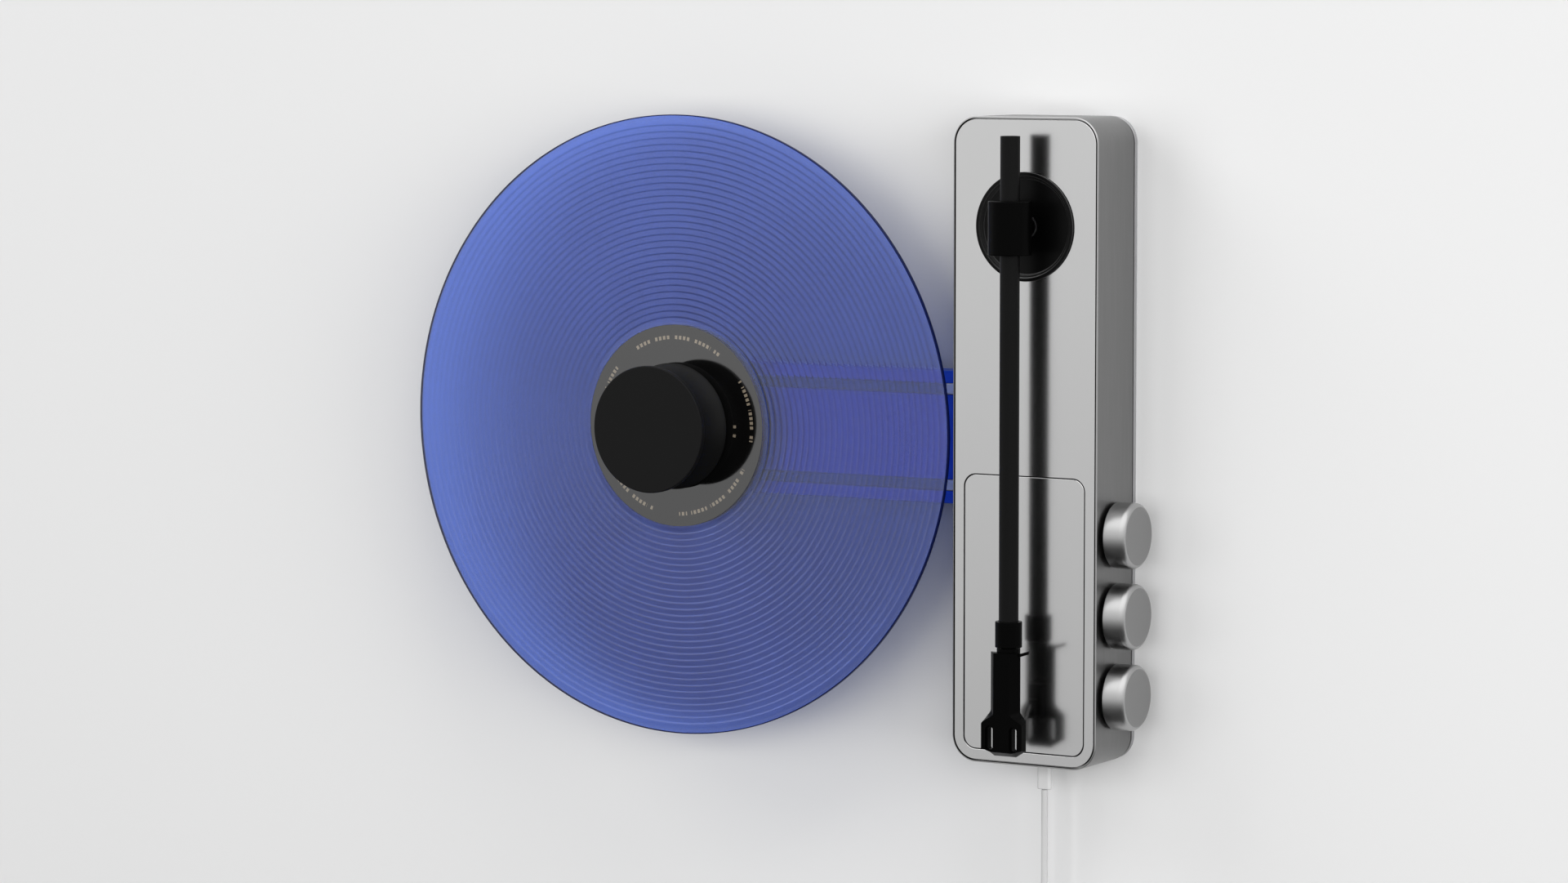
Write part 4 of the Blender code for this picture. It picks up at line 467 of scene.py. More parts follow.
BLUE_PAINT = Finish("blue_paint", (0.070, 0.280, 0.960), (0.078, 0.300, 1.000), (0.30, 0.38), 0.0,
                    1600.0, 0.000006, coat=0.25, coat_roughness=0.2)
MATT_BLACK = Finish("matt_black", *grey(0.0040, 0.2), (0.36, 0.46), 0.0, 1800.0, 0.000006, specular=0.09)
CLAMP_BLACK = Finish("clamp_black", *grey(0.0050, 0.2), (0.32, 0.42), 0.0, 1800.0, 0.000006, specular=0.11)
SATIN_BLACK = Finish("satin_black", *grey(0.0010, 0.2), (0.26, 0.34), 0.0, 1800.0, 0.000004, specular=0.03)
# Near-black blue for the record's rim: painted shade for the band the edge shows through refraction.
VINYL_RIM_PAINTED_SHADE = Finish("vinyl_rim_painted_shade", (0.004, 0.008, 0.060), (0.005, 0.010, 0.070), (0.20, 0.30), 0.0, 1200.0, 0.0,
                   specular=0.1)
# Lighter black for the flange's bevel faces: a painted highlight.
BEVEL_PAINTED_HIGHLIGHT = Finish("bevel_painted_highlight", *grey(0.0320, 0.2), (0.24, 0.32), 0.0, 1200.0, 0.0)
# Near-black painted shade for the gaps round the face plate and the hatch.
GAP_PAINTED_SHADE = Finish("gap_painted_shade", *grey(0.0060, 0.2), (0.50, 0.60), 0.0, 1200.0, 0.0, specular=0.1)
GLOSS_BLACK = Finish("gloss_black", *grey(0.0050, 0.2), (0.07, 0.11), 0.0, 1200.0, 0.0, coat=0.3,
                     coat_roughness=0.05)
RUBBER = Finish("rubber", *grey(0.028, 0.2), (0.70, 0.85), 0.0, 1500.0, 0.00002)
CORD_SHEATH = Finish("cord_sheath", *grey(0.62, 0.04), (0.38, 0.50), 0.0, 1600.0, 0.000004)
PALE_PLASTIC = Finish("pale_plastic", *grey(0.78, 0.04), (0.38, 0.50), 0.0, 1600.0, 0.000004)
BRASS = Finish("brass", (0.52, 0.38, 0.16), (0.62, 0.46, 0.20), (0.25, 0.38), 1.0, 1200.0, 0.000004)
COPPER = Finish("copper", (0.52, 0.21, 0.10), (0.66, 0.30, 0.15), (0.30, 0.42), 1.0, 900.0, 0.00003)
CORE_STEEL = Finish("core_steel", *grey(0.20), (0.40, 0.52), 1.0, 1500.0, 0.00001, (0.2, 1.0, 0.2))
MAGNET = Finish("magnet", *grey(0.09), (0.50, 0.62), 0.3, 1800.0, 0.00001)
BOARD_GREEN = Finish("board_green", (0.012, 0.070, 0.035), (0.020, 0.100, 0.050), (0.35, 0.45), 0.0,
                     500.0, 0.00001)


@dataclass(frozen=True)
class Vinyl:
    """Translucent blue vinyl with fine circular grooves about the spindle. The lines between bands are
    darkened as painted shade.
    """

    name: str = "blue_vinyl"
    tint_a: Colour = (0.104, 0.200, 0.735)
    tint_b: Colour = (0.114, 0.214, 0.775)
    line_painted_shade: Colour = (0.86, 0.88, 0.90)
    shade: Colour = (0.12, 0.20, 0.42)
    band_coat: float = 0.32
    line_coat: float = 0.90
    coat_roughness: float = 0.14
    line_core: float = 0.04
    ior: float = 1.55
    clearness: float = 0.985
    roughness: Pair = (0.09, 0.13)
    cloud_scale: float = 12.0
    groove_pitch: float = 0.00052
    relief: float = 0.000004

    def line_mask(self, graph: Graph, radius: Input) -> Socket:
        """Mask that is 1 on the line between two bands, where the base colour is darkened as painted shade.

        The phase is the fraction of (radius - start of the bands) / band pitch. The mask is 1 where the
        phase is within the line's core of 0.5 and falls to 0 at half the line's share of the pitch.

        Args:
            graph: the graph that gets the nodes.
            radius: the distance from the spindle.

        Returns:
            The mask's output.
        """
        reach = graph.maths("SUBTRACT", radius, Record.recess_radius + Record.band_margin)
        phase = graph.maths("FRACT", graph.maths("DIVIDE", reach, Record.band_pitch))
        off = graph.maths("ABSOLUTE", graph.maths("SUBTRACT", phase, 0.5))
        return graph.span(off, 0.0, 1.0, Record.band_share / 2, self.line_core, "SMOOTHSTEP")

    def build(self) -> bpy.types.Material:
        """Makes the material: tinted glass, and a tinted film for light that passes to what is behind."""
        material, graph, shader = new_material(self.name)
        film = graph.add("ShaderNodeBsdfTransparent", {"Color": self.shade})
        path = graph.add("ShaderNodeLightPath").outputs
        graph.show(graph.maths("MAXIMUM", path["Is Shadow Ray"], path["Is Diffuse Ray"]), shader, film)
        place = graph.place()
        centred = graph.add("ShaderNodeMapping", {"Vector": place, "Location": (-SPINDLE_X, 0.0, 0.0),
                                                  "Scale": (1.0, 0.0, 1.0)})
        length = graph.add("ShaderNodeVectorMath", {0: centred.outputs["Vector"]})
        length.operation = "LENGTH"
        radius = length.outputs["Value"]
        ripple = graph.maths("SINE", graph.product(radius, 2 * math.pi / self.groove_pitch))
        bump = graph.add("ShaderNodeBump", {"Distance": self.relief, "Height": ripple})
        cloud = graph.noise(place, self.cloud_scale)
        tone = graph.blend(cloud, self.tint_a, self.tint_b)
        line = self.line_mask(graph, radius)
        graph.feed(shader, {
            "IOR": self.ior, "Transmission Weight": self.clearness, "Normal": bump.outputs["Normal"],
            # The lines' base colour is multiplied down: painted shade in the grooves.
            "Base Color": graph.blend(line, tone, self.line_painted_shade, "MULTIPLY"),
            "Coat Weight": graph.span(line, self.band_coat, self.line_coat),
            "Coat Roughness": self.coat_roughness, "Roughness": graph.span(cloud, *self.roughness)})
        return material


@dataclass(frozen=True)
class LabelPrint:
    """Glossy near-black label with a ring of small pale dashes and two marks within it.

    Arcs and marks are given by their middle and half width, in degrees about the spindle.
    """

    name: str = "label_print"
    ink: float = 0.0035
    paper: Colour = (0.24, 0.20, 0.15)
    ior: float = 2.05
    roughness: Pair = (0.05, 0.09)
    cloud_scale: float = 60.0
    text_radius: float = 0.0430
    text_half: float = 0.0009
    strokes: float = 118.0
    stroke_share: float = 0.62
    words: float = 23.0
    word_share: float = 0.80
    arcs: tuple[Pair, ...] = ((88.0, 33.4), (152.3, 12.8), (-124.7, 17.3), (-57.3, 30.2), (12.6, 20.8))
    mark_radius: float = 0.0335
    mark_half: float = 0.0008
    marks: tuple[Pair, ...] = ((1.5, 1.2), (-6.0, 1.2))

    def print_mask(self, graph: Graph, place: Input) -> Socket:
        """Mask that is 1 on the dashes and marks, from the radius and the turn about the spindle.

        Args:
            graph: the graph that gets the nodes.
            place: the object's coordinates.

        Returns:
            The mask's output.
        """
        centred = graph.add("ShaderNodeMapping", {"Vector": place, "Location": (-SPINDLE_X, 0.0, 0.0)})
        apart = graph.add("ShaderNodeSeparateXYZ", {"Vector": centred.outputs["Vector"]}).outputs
        x, up = apart["X"], apart["Z"]
        radius = graph.maths("SQRT", graph.maths("ADD", graph.product(x, x), graph.product(up, up)))
        turn = graph.maths("DIVIDE", graph.maths("ARCTAN2", up, x), 2 * math.pi)

        def within(spans: Sequence[Pair]) -> Input:
            """1 where the turn lies in one of the spans."""
            total: Input = 0.0
            for middle, half in spans:
                total = graph.maths("MAXIMUM", total, graph.maths("COMPARE", turn, middle / 360, half / 360))
            return total

        def dashed(count: float, share: float) -> Input:
            """1 on the first share of each of a count of equal steps round the spindle."""
            return graph.maths("LESS_THAN", graph.maths("FRACT", graph.product(turn, count)), share)

        text = graph.product(graph.maths("COMPARE", radius, self.text_radius, self.text_half),
                             dashed(self.strokes, self.stroke_share), dashed(self.words, self.word_share),
                             within(self.arcs))
        mark = graph.product(graph.maths("COMPARE", radius, self.mark_radius, self.mark_half),
                             within(self.marks))
        return graph.maths("MAXIMUM", text, mark)

    def build(self) -> bpy.types.Material:
        """Makes the material."""
        material, graph, shader = new_material(self.name)
        place = graph.place()
        cloud = graph.noise(place, self.cloud_scale)
        base = graph.blend(cloud, *grey(self.ink, 0.2))
        tone = graph.blend(self.print_mask(graph, place), base, self.paper)
        graph.feed(shader, {"IOR": self.ior, "Base Color": tone,
                            "Roughness": graph.span(cloud, *self.roughness)})
        return material


# ---------------------------------------------------------------- the pieces


def hand_over(piece: Piece, finish: Finish | Vinyl | LabelPrint, body: str,
              node: str) -> Piece:
    """Dresses a finished piece and hands it to the frame.

    Args:
        piece: the mesh object.
        finish: its finish.
        body: the body that it rides on.
        node: the solid that it stands for.

    Returns:
        The piece.
    """
    piece.data.materials.clear()
    piece.data.materials.append(finish.build())
    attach(piece, body)
    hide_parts(node)
    log.info("%s: %d faces", piece.name, len(piece.data.polygons))
    return piece


def second_finish(piece: Piece, finish: Finish,
                  chosen: Callable[[Vector, Vector], bool]) -> None:
    """Gives the chosen faces a second finish.

    Args:
        piece: the dressed piece.
        finish: the second finish.
        chosen: takes a face's centre and normal in the world and tells whether it changes.
    """
    piece.data.materials.append(finish.build())
    for polygon in piece.data.polygons:
        if chosen(polygon.center, polygon.normal):
            polygon.material_index = len(piece.data.materials) - 1


@dataclass
class Tower:
    """Wall plate, shell, face plate and service hatch.

    A size of three values is a width, a height and a corner radius.
    """

    width: float = 0.0760
    height: float = 0.3040
    corner: float = 0.0125
    depth: float = 0.0370
    wall: float = 0.0020
    lip: float = 0.0006
    lip_chamfer: float = 0.0004
    back_chamfer: float = 0.0005
    pillar_radius: float = 0.0030
    pillar_x: float = 0.0290
    pillar_ups: Pair = (0.1430, 0.0420)
    standoff_radius: float = 0.0025
    standoff_end: float = -0.0272
    board_centre: Pair = (-0.0030, -0.0895)
    board_half: Pair = (0.0220, 0.0505)
    arm_slot: Pair = (-0.0233, -0.0103)
    knob_hole: float = 0.0047
    socket_size: Size = (0.0058, 0.0028, 0.0008)
    socket_out: float = -0.0220
    socket_steps: int = 6
    screw_hole: float = 0.0018
    screw_up: float = 0.1250
    bracket_front: float = -0.0385
    bracket_insets: Pair = (0.0003, 0.0005)
    bracket_edge: float = 0.0002
    bracket_floor: float = 0.0005
    pad_size: Size = (0.0560, 0.2700, 0.0080)
    mount_hole: float = 0.0024
    mount_at: Pair = (0.0200, 0.1000)
    plate_inset: float = 0.0013
    plate_thickness: float = 0.0020
    plate_bevel: float = 0.00015
    flange_hole: float = 0.0236
    hatch_up: float = -0.0806
    hatch_opening: Size = (0.0637, 0.1305, 0.00635)
    hatch_gap: float = 0.0005
    edge_facing: float = 0.4
    lip_facing: float = -0.3
    skip: float = 0.0001
    tiny: float = 1e-6
    steps: int = 20
    hole_sides: int = 24
    flange_hole_sides: int = 96

    def outline(self, inset: float) -> np.ndarray:
        """The tower's front outline, drawn in by an inset."""
        return rounded_rectangle(self.width - 2 * inset, self.height - 2 * inset,
                                 self.corner - inset, self.steps)

    def opening(self, inset: float) -> np.ndarray:
        """The hatch opening's outline, drawn in by an inset."""
        width, height, corner = self.hatch_opening
        return rounded_rectangle(width - 2 * inset, height - 2 * inset, corner - inset, self.steps,
                                 0.0, self.hatch_up)

    def bosses(self, foot: float, ledge: float) -> Shape:
        """The pillars behind the face plate and the standoffs of the main board."""
        bosses = Shape()
        (board_x, board_up), (half_width, half_height) = self.board_centre, self.board_half
        for side in (-1, 1):
            pillars = [(side * self.pillar_x, up) for up in self.pillar_ups]
            standoffs = [(board_x + side * half_width, board_up + rise)
                         for rise in (-half_height, half_height)]
            bosses.plugs(self.pillar_radius, (foot, ledge), pillars)
            bosses.plugs(self.standoff_radius, (foot, self.standoff_end), standoffs)
        return bosses

    def shell_holes(self, floor: float) -> Shape:
        """The openings for the arm, the knobs' shafts, the power socket and the back screws."""
        half = ARM_HEIGHT / 2 + SEAT
        left = -self.width / 2
        back, front = self.arm_slot
        holes = Shape().add(brick((left - PAST, -half, back), (left + self.wall + PAST, half, front)))
        for up in KNOB_UPS:
            holes.add(plug(self.knob_hole, (self.width / 2 - 2 * PAST, self.width / 2 + PAST),
                           axis=Axis.RIGHT, at=(0.0, up, KNOB_OUT)))
        slot = rounded_rectangle(*self.socket_size, self.socket_steps, 0.0, self.socket_out)
        foot = -self.height / 2
        holes.add(np.stack([np.column_stack((slot[:, 0], np.full(len(slot), foot + rise), slot[:, 1]))
                            for rise in (-PAST, self.wall + PAST)]))
        return holes.plugs(self.screw_hole, (-self.depth - PAST, floor + PAST),
                           [(0.0, -self.screw_up), (0.0, self.screw_up)], self.hole_sides)

    def shell(self) -> None:
        """The extruded shell with its floor, its bosses and its openings."""
        ledge = -self.plate_thickness - SEAT
        floor = -self.depth + self.wall
        profile = np.array(((self.back_chamfer, -self.depth), (0, -self.depth + self.back_chamfer),
                            (0, -self.lip_chamfer), (self.lip_chamfer, 0), (self.lip, 0),
                            (self.lip, ledge), (self.wall, ledge), (self.wall, floor)))
        shell = Shape().add(inset_layers(self.outline, profile)).build("tower_body")
        combine(shell, self.bosses(floor - self.wall / 2, ledge), Operation.JOIN)
        combine(shell, self.shell_holes(floor))
        hand_over(shell, SIDE_METAL, "tower", "tower_shell")
        deepest = FRONT_Y - ledge + SEAT
        # The lip's inner faces round the plate get a near-black finish: painted shade in the gap between
        # plate and shell.
        second_finish(shell, GAP_PAINTED_SHADE, lambda centre, normal: FRONT_Y + self.skip < centre.y < deepest
                      and normal.x * centre.x + normal.z * centre.z < self.tiny)
        # The lip's front-facing faces take the brighter knob metal: a painted highlight on the chamfer
        # against the darker side metal.
        second_finish(shell, KNOB_METAL, lambda centre, normal: centre.y < deepest
                      and normal.y < self.lip_facing)

    def wall_plate(self) -> None:
        """The plate on the wall, with the raised pad that holds the shell off it by a shadow gap."""
        back, front, pad_out = FRONT_Y, self.bracket_front, -self.depth - SEAT
        side_line, edge_line = (self.outline(inset) for inset in self.bracket_insets)
        pad = rounded_rectangle(*self.pad_size, self.steps)
        rows = layers((edge_line, side_line, side_line, edge_line, pad, pad),
                      (back, back + self.bracket_edge, front - self.bracket_edge, front, front, pad_out))
        plate = Shape().add(rows).build("wall_bracket")
        holes = Shape()
        x, up = self.mount_at
        for side in (-1, 1):
            holes.plugs(self.mount_hole, (back - PAST, pad_out + PAST), [(-x, side * up), (x, side * up)],
                        self.hole_sides)
            holes.plugs(self.screw_hole, (back + self.bracket_floor, pad_out + PAST),
                        [(0.0, side * self.screw_up)], self.hole_sides)
        combine(plate, holes)
        hand_over(plate, STEEL, "tower", "wall_plate")

    def mirror(self, plate: Piece, node: str) -> None:
        """Dresses a mirror plate that stands for a node; its side faces get a near-black finish, painted
        shade of the gap round the plate.
        """
        hand_over(plate, PLATE_METAL, "tower", node)
        second_finish(plate, GAP_PAINTED_SHADE, lambda centre, normal: abs(normal.y) < self.edge_facing)

    def face_plate(self) -> None:
        """The mirror plate in front, with its hatch opening and the hole for the tonearm's flange."""
        thick, bevel = self.plate_thickness, self.plate_bevel
        outer = [self.outline(self.plate_inset + inset) for inset in (0.0, 0.0, bevel)]
        inner = [self.opening(-inset) for inset in (bevel, 0.0, 0.0)]
        rows = layers([*outer, *inner], [-thick, -bevel, 0.0, 0.0, -bevel, -thick])
        plate = Shape().add(rows, loop=True).build("front_plate")
        combine(plate, Shape().plugs(self.flange_hole, (-thick - PAST, PAST), [(0.0, PIVOT_UP)],
                                     self.flange_hole_sides))
        self.mirror(plate, "face_plate")

    def hatch(self) -> None:
        """The service hatch, flush in its opening."""
        thick, bevel, gap = self.plate_thickness, self.plate_bevel, self.hatch_gap
        rows = layers([self.opening(gap + inset) for inset in (0.0, 0.0, bevel)], [-thick, -bevel, 0.0])
        hatch = Shape().add(rows).build("hatch_cover")
        self.mirror(hatch, "service_hatch")

    def build(self) -> None:
        """Builds all of the tower's own pieces."""
        self.wall_plate()
        self.shell()
        self.face_plate()
        self.hatch()


@dataclass
class Knobs:
    """Three turned knobs on the tower's right side.

    The back profile's rows are radius, height along the axis and corner radius.
    """

    start_x: float = 0.0396
    radius: float = 0.0155
    length: float = 0.0112
    fillet: float = 0.0030
    edge: float = 0.0003
    back_profile: Corners = (
        (0.0135, 0.0, 0.0002), (0.0135, 0.0060, 0.0004), (0.0065, 0.0060, 0.0004), (0.0065, 0.0, 0.0002),
        (0.0033, 0.0, 0), (0.0033, 0.0080, 0), (0.0, 0.0080, 0))
    steps: int = 8
    sides: int = 128
    end_facing: float = 0.95

    def profile(self) -> np.ndarray:
        """Half section of a knob: a full front fillet, a hollow back and a blind bore."""
        return rounded_path(((0.0, self.length, 0), (self.radius, self.length, self.fillet),
                             (self.radius, 0.0, self.edge), *self.back_profile), self.steps)

    def build(self) -> None:
        """Builds the knobs, each on its own body."""
        for name, up in zip(("upper", "middle", "lower"), KNOB_UPS):
            knob = lathe(f"{name}_dial", self.profile(), self.sides, Axis.RIGHT,
                         (self.start_x, up, KNOB_OUT), loop=False)
            hand_over(knob, KNOB_METAL, f"{name}_knob_body", f"{name}_knob")
            # The end faces, turned to the right, take the darker copy as painted shade.
            second_finish(knob, KNOB_END_PAINTED_SHADE, lambda centre, normal: normal.x > self.end_facing)


@dataclass
class PlatterArm:
    """The painted arm with its two rails."""

    end_x: float = -0.0200
    front: float = -0.0110
    thickness: float = 0.0120
    bevel: float = 0.0004
    flat: float = 0.002
    hub_radius: float = 0.0246
    hub_sides: int = 96
    bow_steps: int = 64
    channel_half: float = 0.0030
    channel_depth: float = 0.0050
    rail_up: float = 0.022825
    rail_height: float = 0.00515
    rail_front: float = -0.0106
    rail_thickness: float = 0.0021
    rail_edges: Pair = (0.0001, 0.0005)
    rail_support: float = 0.0001
    rail_start: float = -0.1660
    rail_bare: float = -0.0472

    def outline(self, inset: float) -> np.ndarray:
        """A half circle about the spindle joined to straight sides that end inside the tower."""
        radius = ARM_HEIGHT / 2 - inset
        angle = np.linspace(math.pi / 2, 3 * math.pi / 2, self.bow_steps + 1)
        bow = np.column_stack((SPINDLE_X + radius * np.cos(angle), radius * np.sin(angle)))
        end = self.end_x - inset
        return np.vstack((bow, ((end, -radius), (end, radius))))

    def beam(self) -> None:
        """The arm itself, with its bore, its rail grooves and the channel for the motor lead."""
        back = self.front - self.thickness
        profile = rounded_path(((self.flat, back, 0), (0.0, back, self.bevel), (0.0, self.front, self.bevel),
                                (self.flat, self.front, 0)))
        beam = Shape().add(inset_layers(self.outline, profile)).build("platter_arm")
        cuts = Shape().plugs(self.hub_radius, (back - PAST, self.front + PAST), [(SPINDLE_X, 0.0)],
                             self.hub_sides)
        half = self.rail_height / 2 + SEAT
        for side in (-1, 1):
            up = side * self.rail_up
            cuts.add(brick((self.rail_start - SEAT, up - half, self.rail_front - self.rail_thickness - SEAT),
                           (self.end_x + PAST, up + half, self.front + PAST)))
        combine(beam, cuts)
        channel = brick((SPINDLE_X + self.hub_radius - 2 * PAST, -self.channel_half, back - PAST),
                        (self.end_x + PAST, self.channel_half, back + self.channel_depth))
        combine(beam, Shape().add(channel))
        hand_over(beam, BLUE_PAINT, "tower", "arm_beam")

    def rails(self) -> None:
        """Two bars let into the arm, with eased front edges. Behind the record they carry a darkened metal as
        painted shade, and past its edge their own bright metal.
        """
        half, deep = self.rail_height / 2, self.rail_thickness
        back = self.rail_front - deep
        fine, eased = self.rail_edges
        section = rounded_path(((-half, 0.0, fine), (half, 0.0, fine), (half, deep, eased),
                                (-half, deep, eased)), loop=True, support=self.rail_support)
        for name, side in (("upper", 1), ("lower", -1)):
            rows = [np.column_stack((np.full(len(section), x), side * self.rail_up + section[:, 0],
                                     back + section[:, 1]))
                    for x in (self.rail_start, self.rail_bare, self.end_x)]
            rail = Shape().add(np.stack(rows)).build(f"{name}_bar")
            hand_over(rail, RAIL_PAINTED_SHADE, "tower", f"{name}_rail")
            second_finish(rail, RAIL_END, lambda centre, normal: centre.x > self.rail_bare)

    def build(self) -> None:
        """Builds the arm and its rails."""
        self.beam()
        self.rails()


@dataclass
class Platter:
    """The platter and its mat, both just narrower than the label in front of them."""

    radius: float = 0.0485
    front: float = -0.0020
    thickness: float = 0.0060
    edge: float = 0.0008
    mat_radius: float = 0.0480
    mat_front: float = -0.0012
    mat_thickness: float = 0.0005
    mat_edge: float = 0.0001
    bore: float = 0.0036
    sides: int = 192

    def disc(self, name: str, radius: float, low: float, high: float, edge: float) -> Piece:
        """A bored disc between two heights, with eased edges."""
        profile = rounded_path(((self.bore, low, 0), (radius, low, edge), (radius, high, edge),
                                (self.bore, high, 0)))
        return lathe(name, profile, self.sides)

    def build(self) -> None:
        """Builds the platter and the mat."""
        disc = self.disc("platter_disc", self.radius, self.front - self.thickness, self.front, self.edge)
        hand_over(disc, MATT_BLACK, "platter_body", "platter")
        mat = self.disc("mat_disc", self.mat_radius, self.mat_front - self.mat_thickness, self.mat_front,
                        self.mat_edge)
        hand_over(mat, RUBBER, "platter_body", "platter_mat")


@dataclass
class Record:
    """The record with its two labels."""

    radius: float = 0.1508
    front: float = 0.0015
    back: float = -0.0009
    edge: float = 0.0005
    bore: float = 0.0038
    recess_radius: float = 0.0493
    recess: float = 0.0003
    band_margin: float = 0.0019
    rim_margin: float = 0.0020
    band_pitch: float = 0.0031
    band_depth: float = 0.00015
    band_ease: float = 0.00006
    band_share: float = 0.26
    label_radius: float = 0.0491
    label_height: float = 0.0002
    label_ease: float = 0.00005
    sides: int = 288
    label_sides: int = 192

    def grooved(self, inner: float, outer: float, out: float) -> np.ndarray:
        """Rows of radius and height for the bands and the lines between them.

        Each line faces slightly inwards and each band slightly outwards: with the radius the surface
        rises by a depth across the line and falls by it across the band. The ridges are eased.
        """
        count = round((outer - inner) / self.band_pitch)
        middle = inner + self.band_pitch * (np.arange(count)[:, None] + 0.5)
        half = self.band_share * self.band_pitch / 2
        corners = np.hstack((middle - half, middle + half)).ravel()
        depth = np.tile((self.band_depth, 0.0), count)
        corners = np.hstack((inner, corners, outer))
        depth = np.hstack((self.band_depth / 2, depth, self.band_depth / 2))
        eased = (corners[1:-1, None] + (-self.band_ease, self.band_ease)).ravel()
        radius = np.hstack((inner, eased, outer))
        return np.column_stack((radius, out - np.interp(radius, corners, depth)))

    def disc(self) -> None:
        """The vinyl disc: bored, recessed for its labels, rippled on both faces."""
        recess_out = self.front - self.recess
        recess_back = self.back + self.recess
        inner = self.recess_radius + self.band_margin
        count = math.floor((self.radius - self.rim_margin - inner) / self.band_pitch)
        outer = inner + self.band_pitch * count
        rim = rounded_path(((outer, self.front, 0), (self.radius, self.front, self.edge),
                            (self.radius, self.back, self.edge), (outer, self.back, 0)))
        profile = np.vstack((
            ((self.bore, recess_out), (self.recess_radius, recess_out), (self.recess_radius, self.front)),
            self.grooved(inner, outer, self.front), rim[1:-1],
            self.grooved(inner, outer, self.back + self.band_depth)[::-1],
            ((self.recess_radius, self.back + self.band_depth), (self.recess_radius, recess_back),
             (self.bore, recess_back))))
        disc = lathe("vinyl_disc", profile, self.sides)
        hand_over(disc, Vinyl(), "platter_body", "record")
        # The rim's faces take the near-black blue as painted shade.
        rim_start = self.radius - self.edge
        second_finish(disc, VINYL_RIM_PAINTED_SHADE, lambda centre, normal:
                      math.hypot(centre.x - SPINDLE_X, centre.z) > rim_start)

    def label(self, name: str, low: float, finish: Finish | LabelPrint, node: str) -> None:
        """One label: a thin ring with an eased upper edge.

        Args:
            name: the name of the piece.
            low: its lower height.
            finish: its finish.
            node: the solid that it stands for.
        """
        high, ease = low + self.label_height, self.label_ease
        profile = np.array(((self.bore, low), (self.label_radius, low), (self.label_radius, high - ease),
                            (self.label_radius - ease, high), (self.bore, high)))
        hand_over(lathe(name, profile, self.label_sides), finish, "platter_body", node)

    def build(self) -> None:
        """Builds the disc and its labels."""
        self.disc()
        self.label("label_disc", self.front - self.label_height, LabelPrint(), "front_label")
        self.label("rear_label_disc", self.back, GLOSS_BLACK, "back_label")


@dataclass
class Clamp:
    """The record clamp: a waisted weight with a bore and a recess for its pad below."""

    radius: float = 0.0307
    front: float = 0.0271
    base: float = 0.0021
    base_radius: float = 0.0283
    base_height: float = 0.0029
    cap_height: float = 0.0026
    waist: float = 0.0240
    flare: float = 2.6
    flare_steps: int = 20
    cap_edge: float = 0.0005
    edge: float = 0.0003
    foot_edge: float = 0.0002
    undercut: float = 0.0004
    join: float = 0.0001
    pad_top: float = 0.0029
    bore: float = 0.0073
    bore_top: float = 0.0112
    sides: int = 160

    def build(self) -> None:
        """Builds the body: under the cap it steps in to the waist, then flares to the base.

        The flare's radius is waist + (radius - waist) * share ** flare, where share runs from 0 at the
        cap to 1 at the base.
        """
        top, foot = self.front - self.cap_height, self.base + self.base_height
        share = np.linspace(0, 1, self.flare_steps + 1)[:-1]
        waist = np.column_stack((self.waist + (self.radius - self.waist) * share ** self.flare,
                                 top + (foot - top) * share))
        cap = rounded_path(((0.0, self.front, 0), (self.radius, self.front, self.cap_edge),
                            (self.radius, top, self.edge), (self.waist + self.join, top, 0)))
        base = rounded_path(((self.radius - self.join, foot, 0),
                             (self.radius, foot - self.edge, self.foot_edge),
                             (self.base_radius + self.undercut, self.base, self.edge),
                             (self.base_radius, self.base, 0), (self.base_radius, self.pad_top, 0),
                             (self.bore, self.pad_top, 0), (self.bore, self.bore_top, 0),
                             (0.0, self.bore_top, 0)))
        body = lathe("clamp_weight", np.vstack((cap, waist, base)), self.sides, loop=False)
        hand_over(body, CLAMP_BLACK, "record_clamp", "clamp_body")


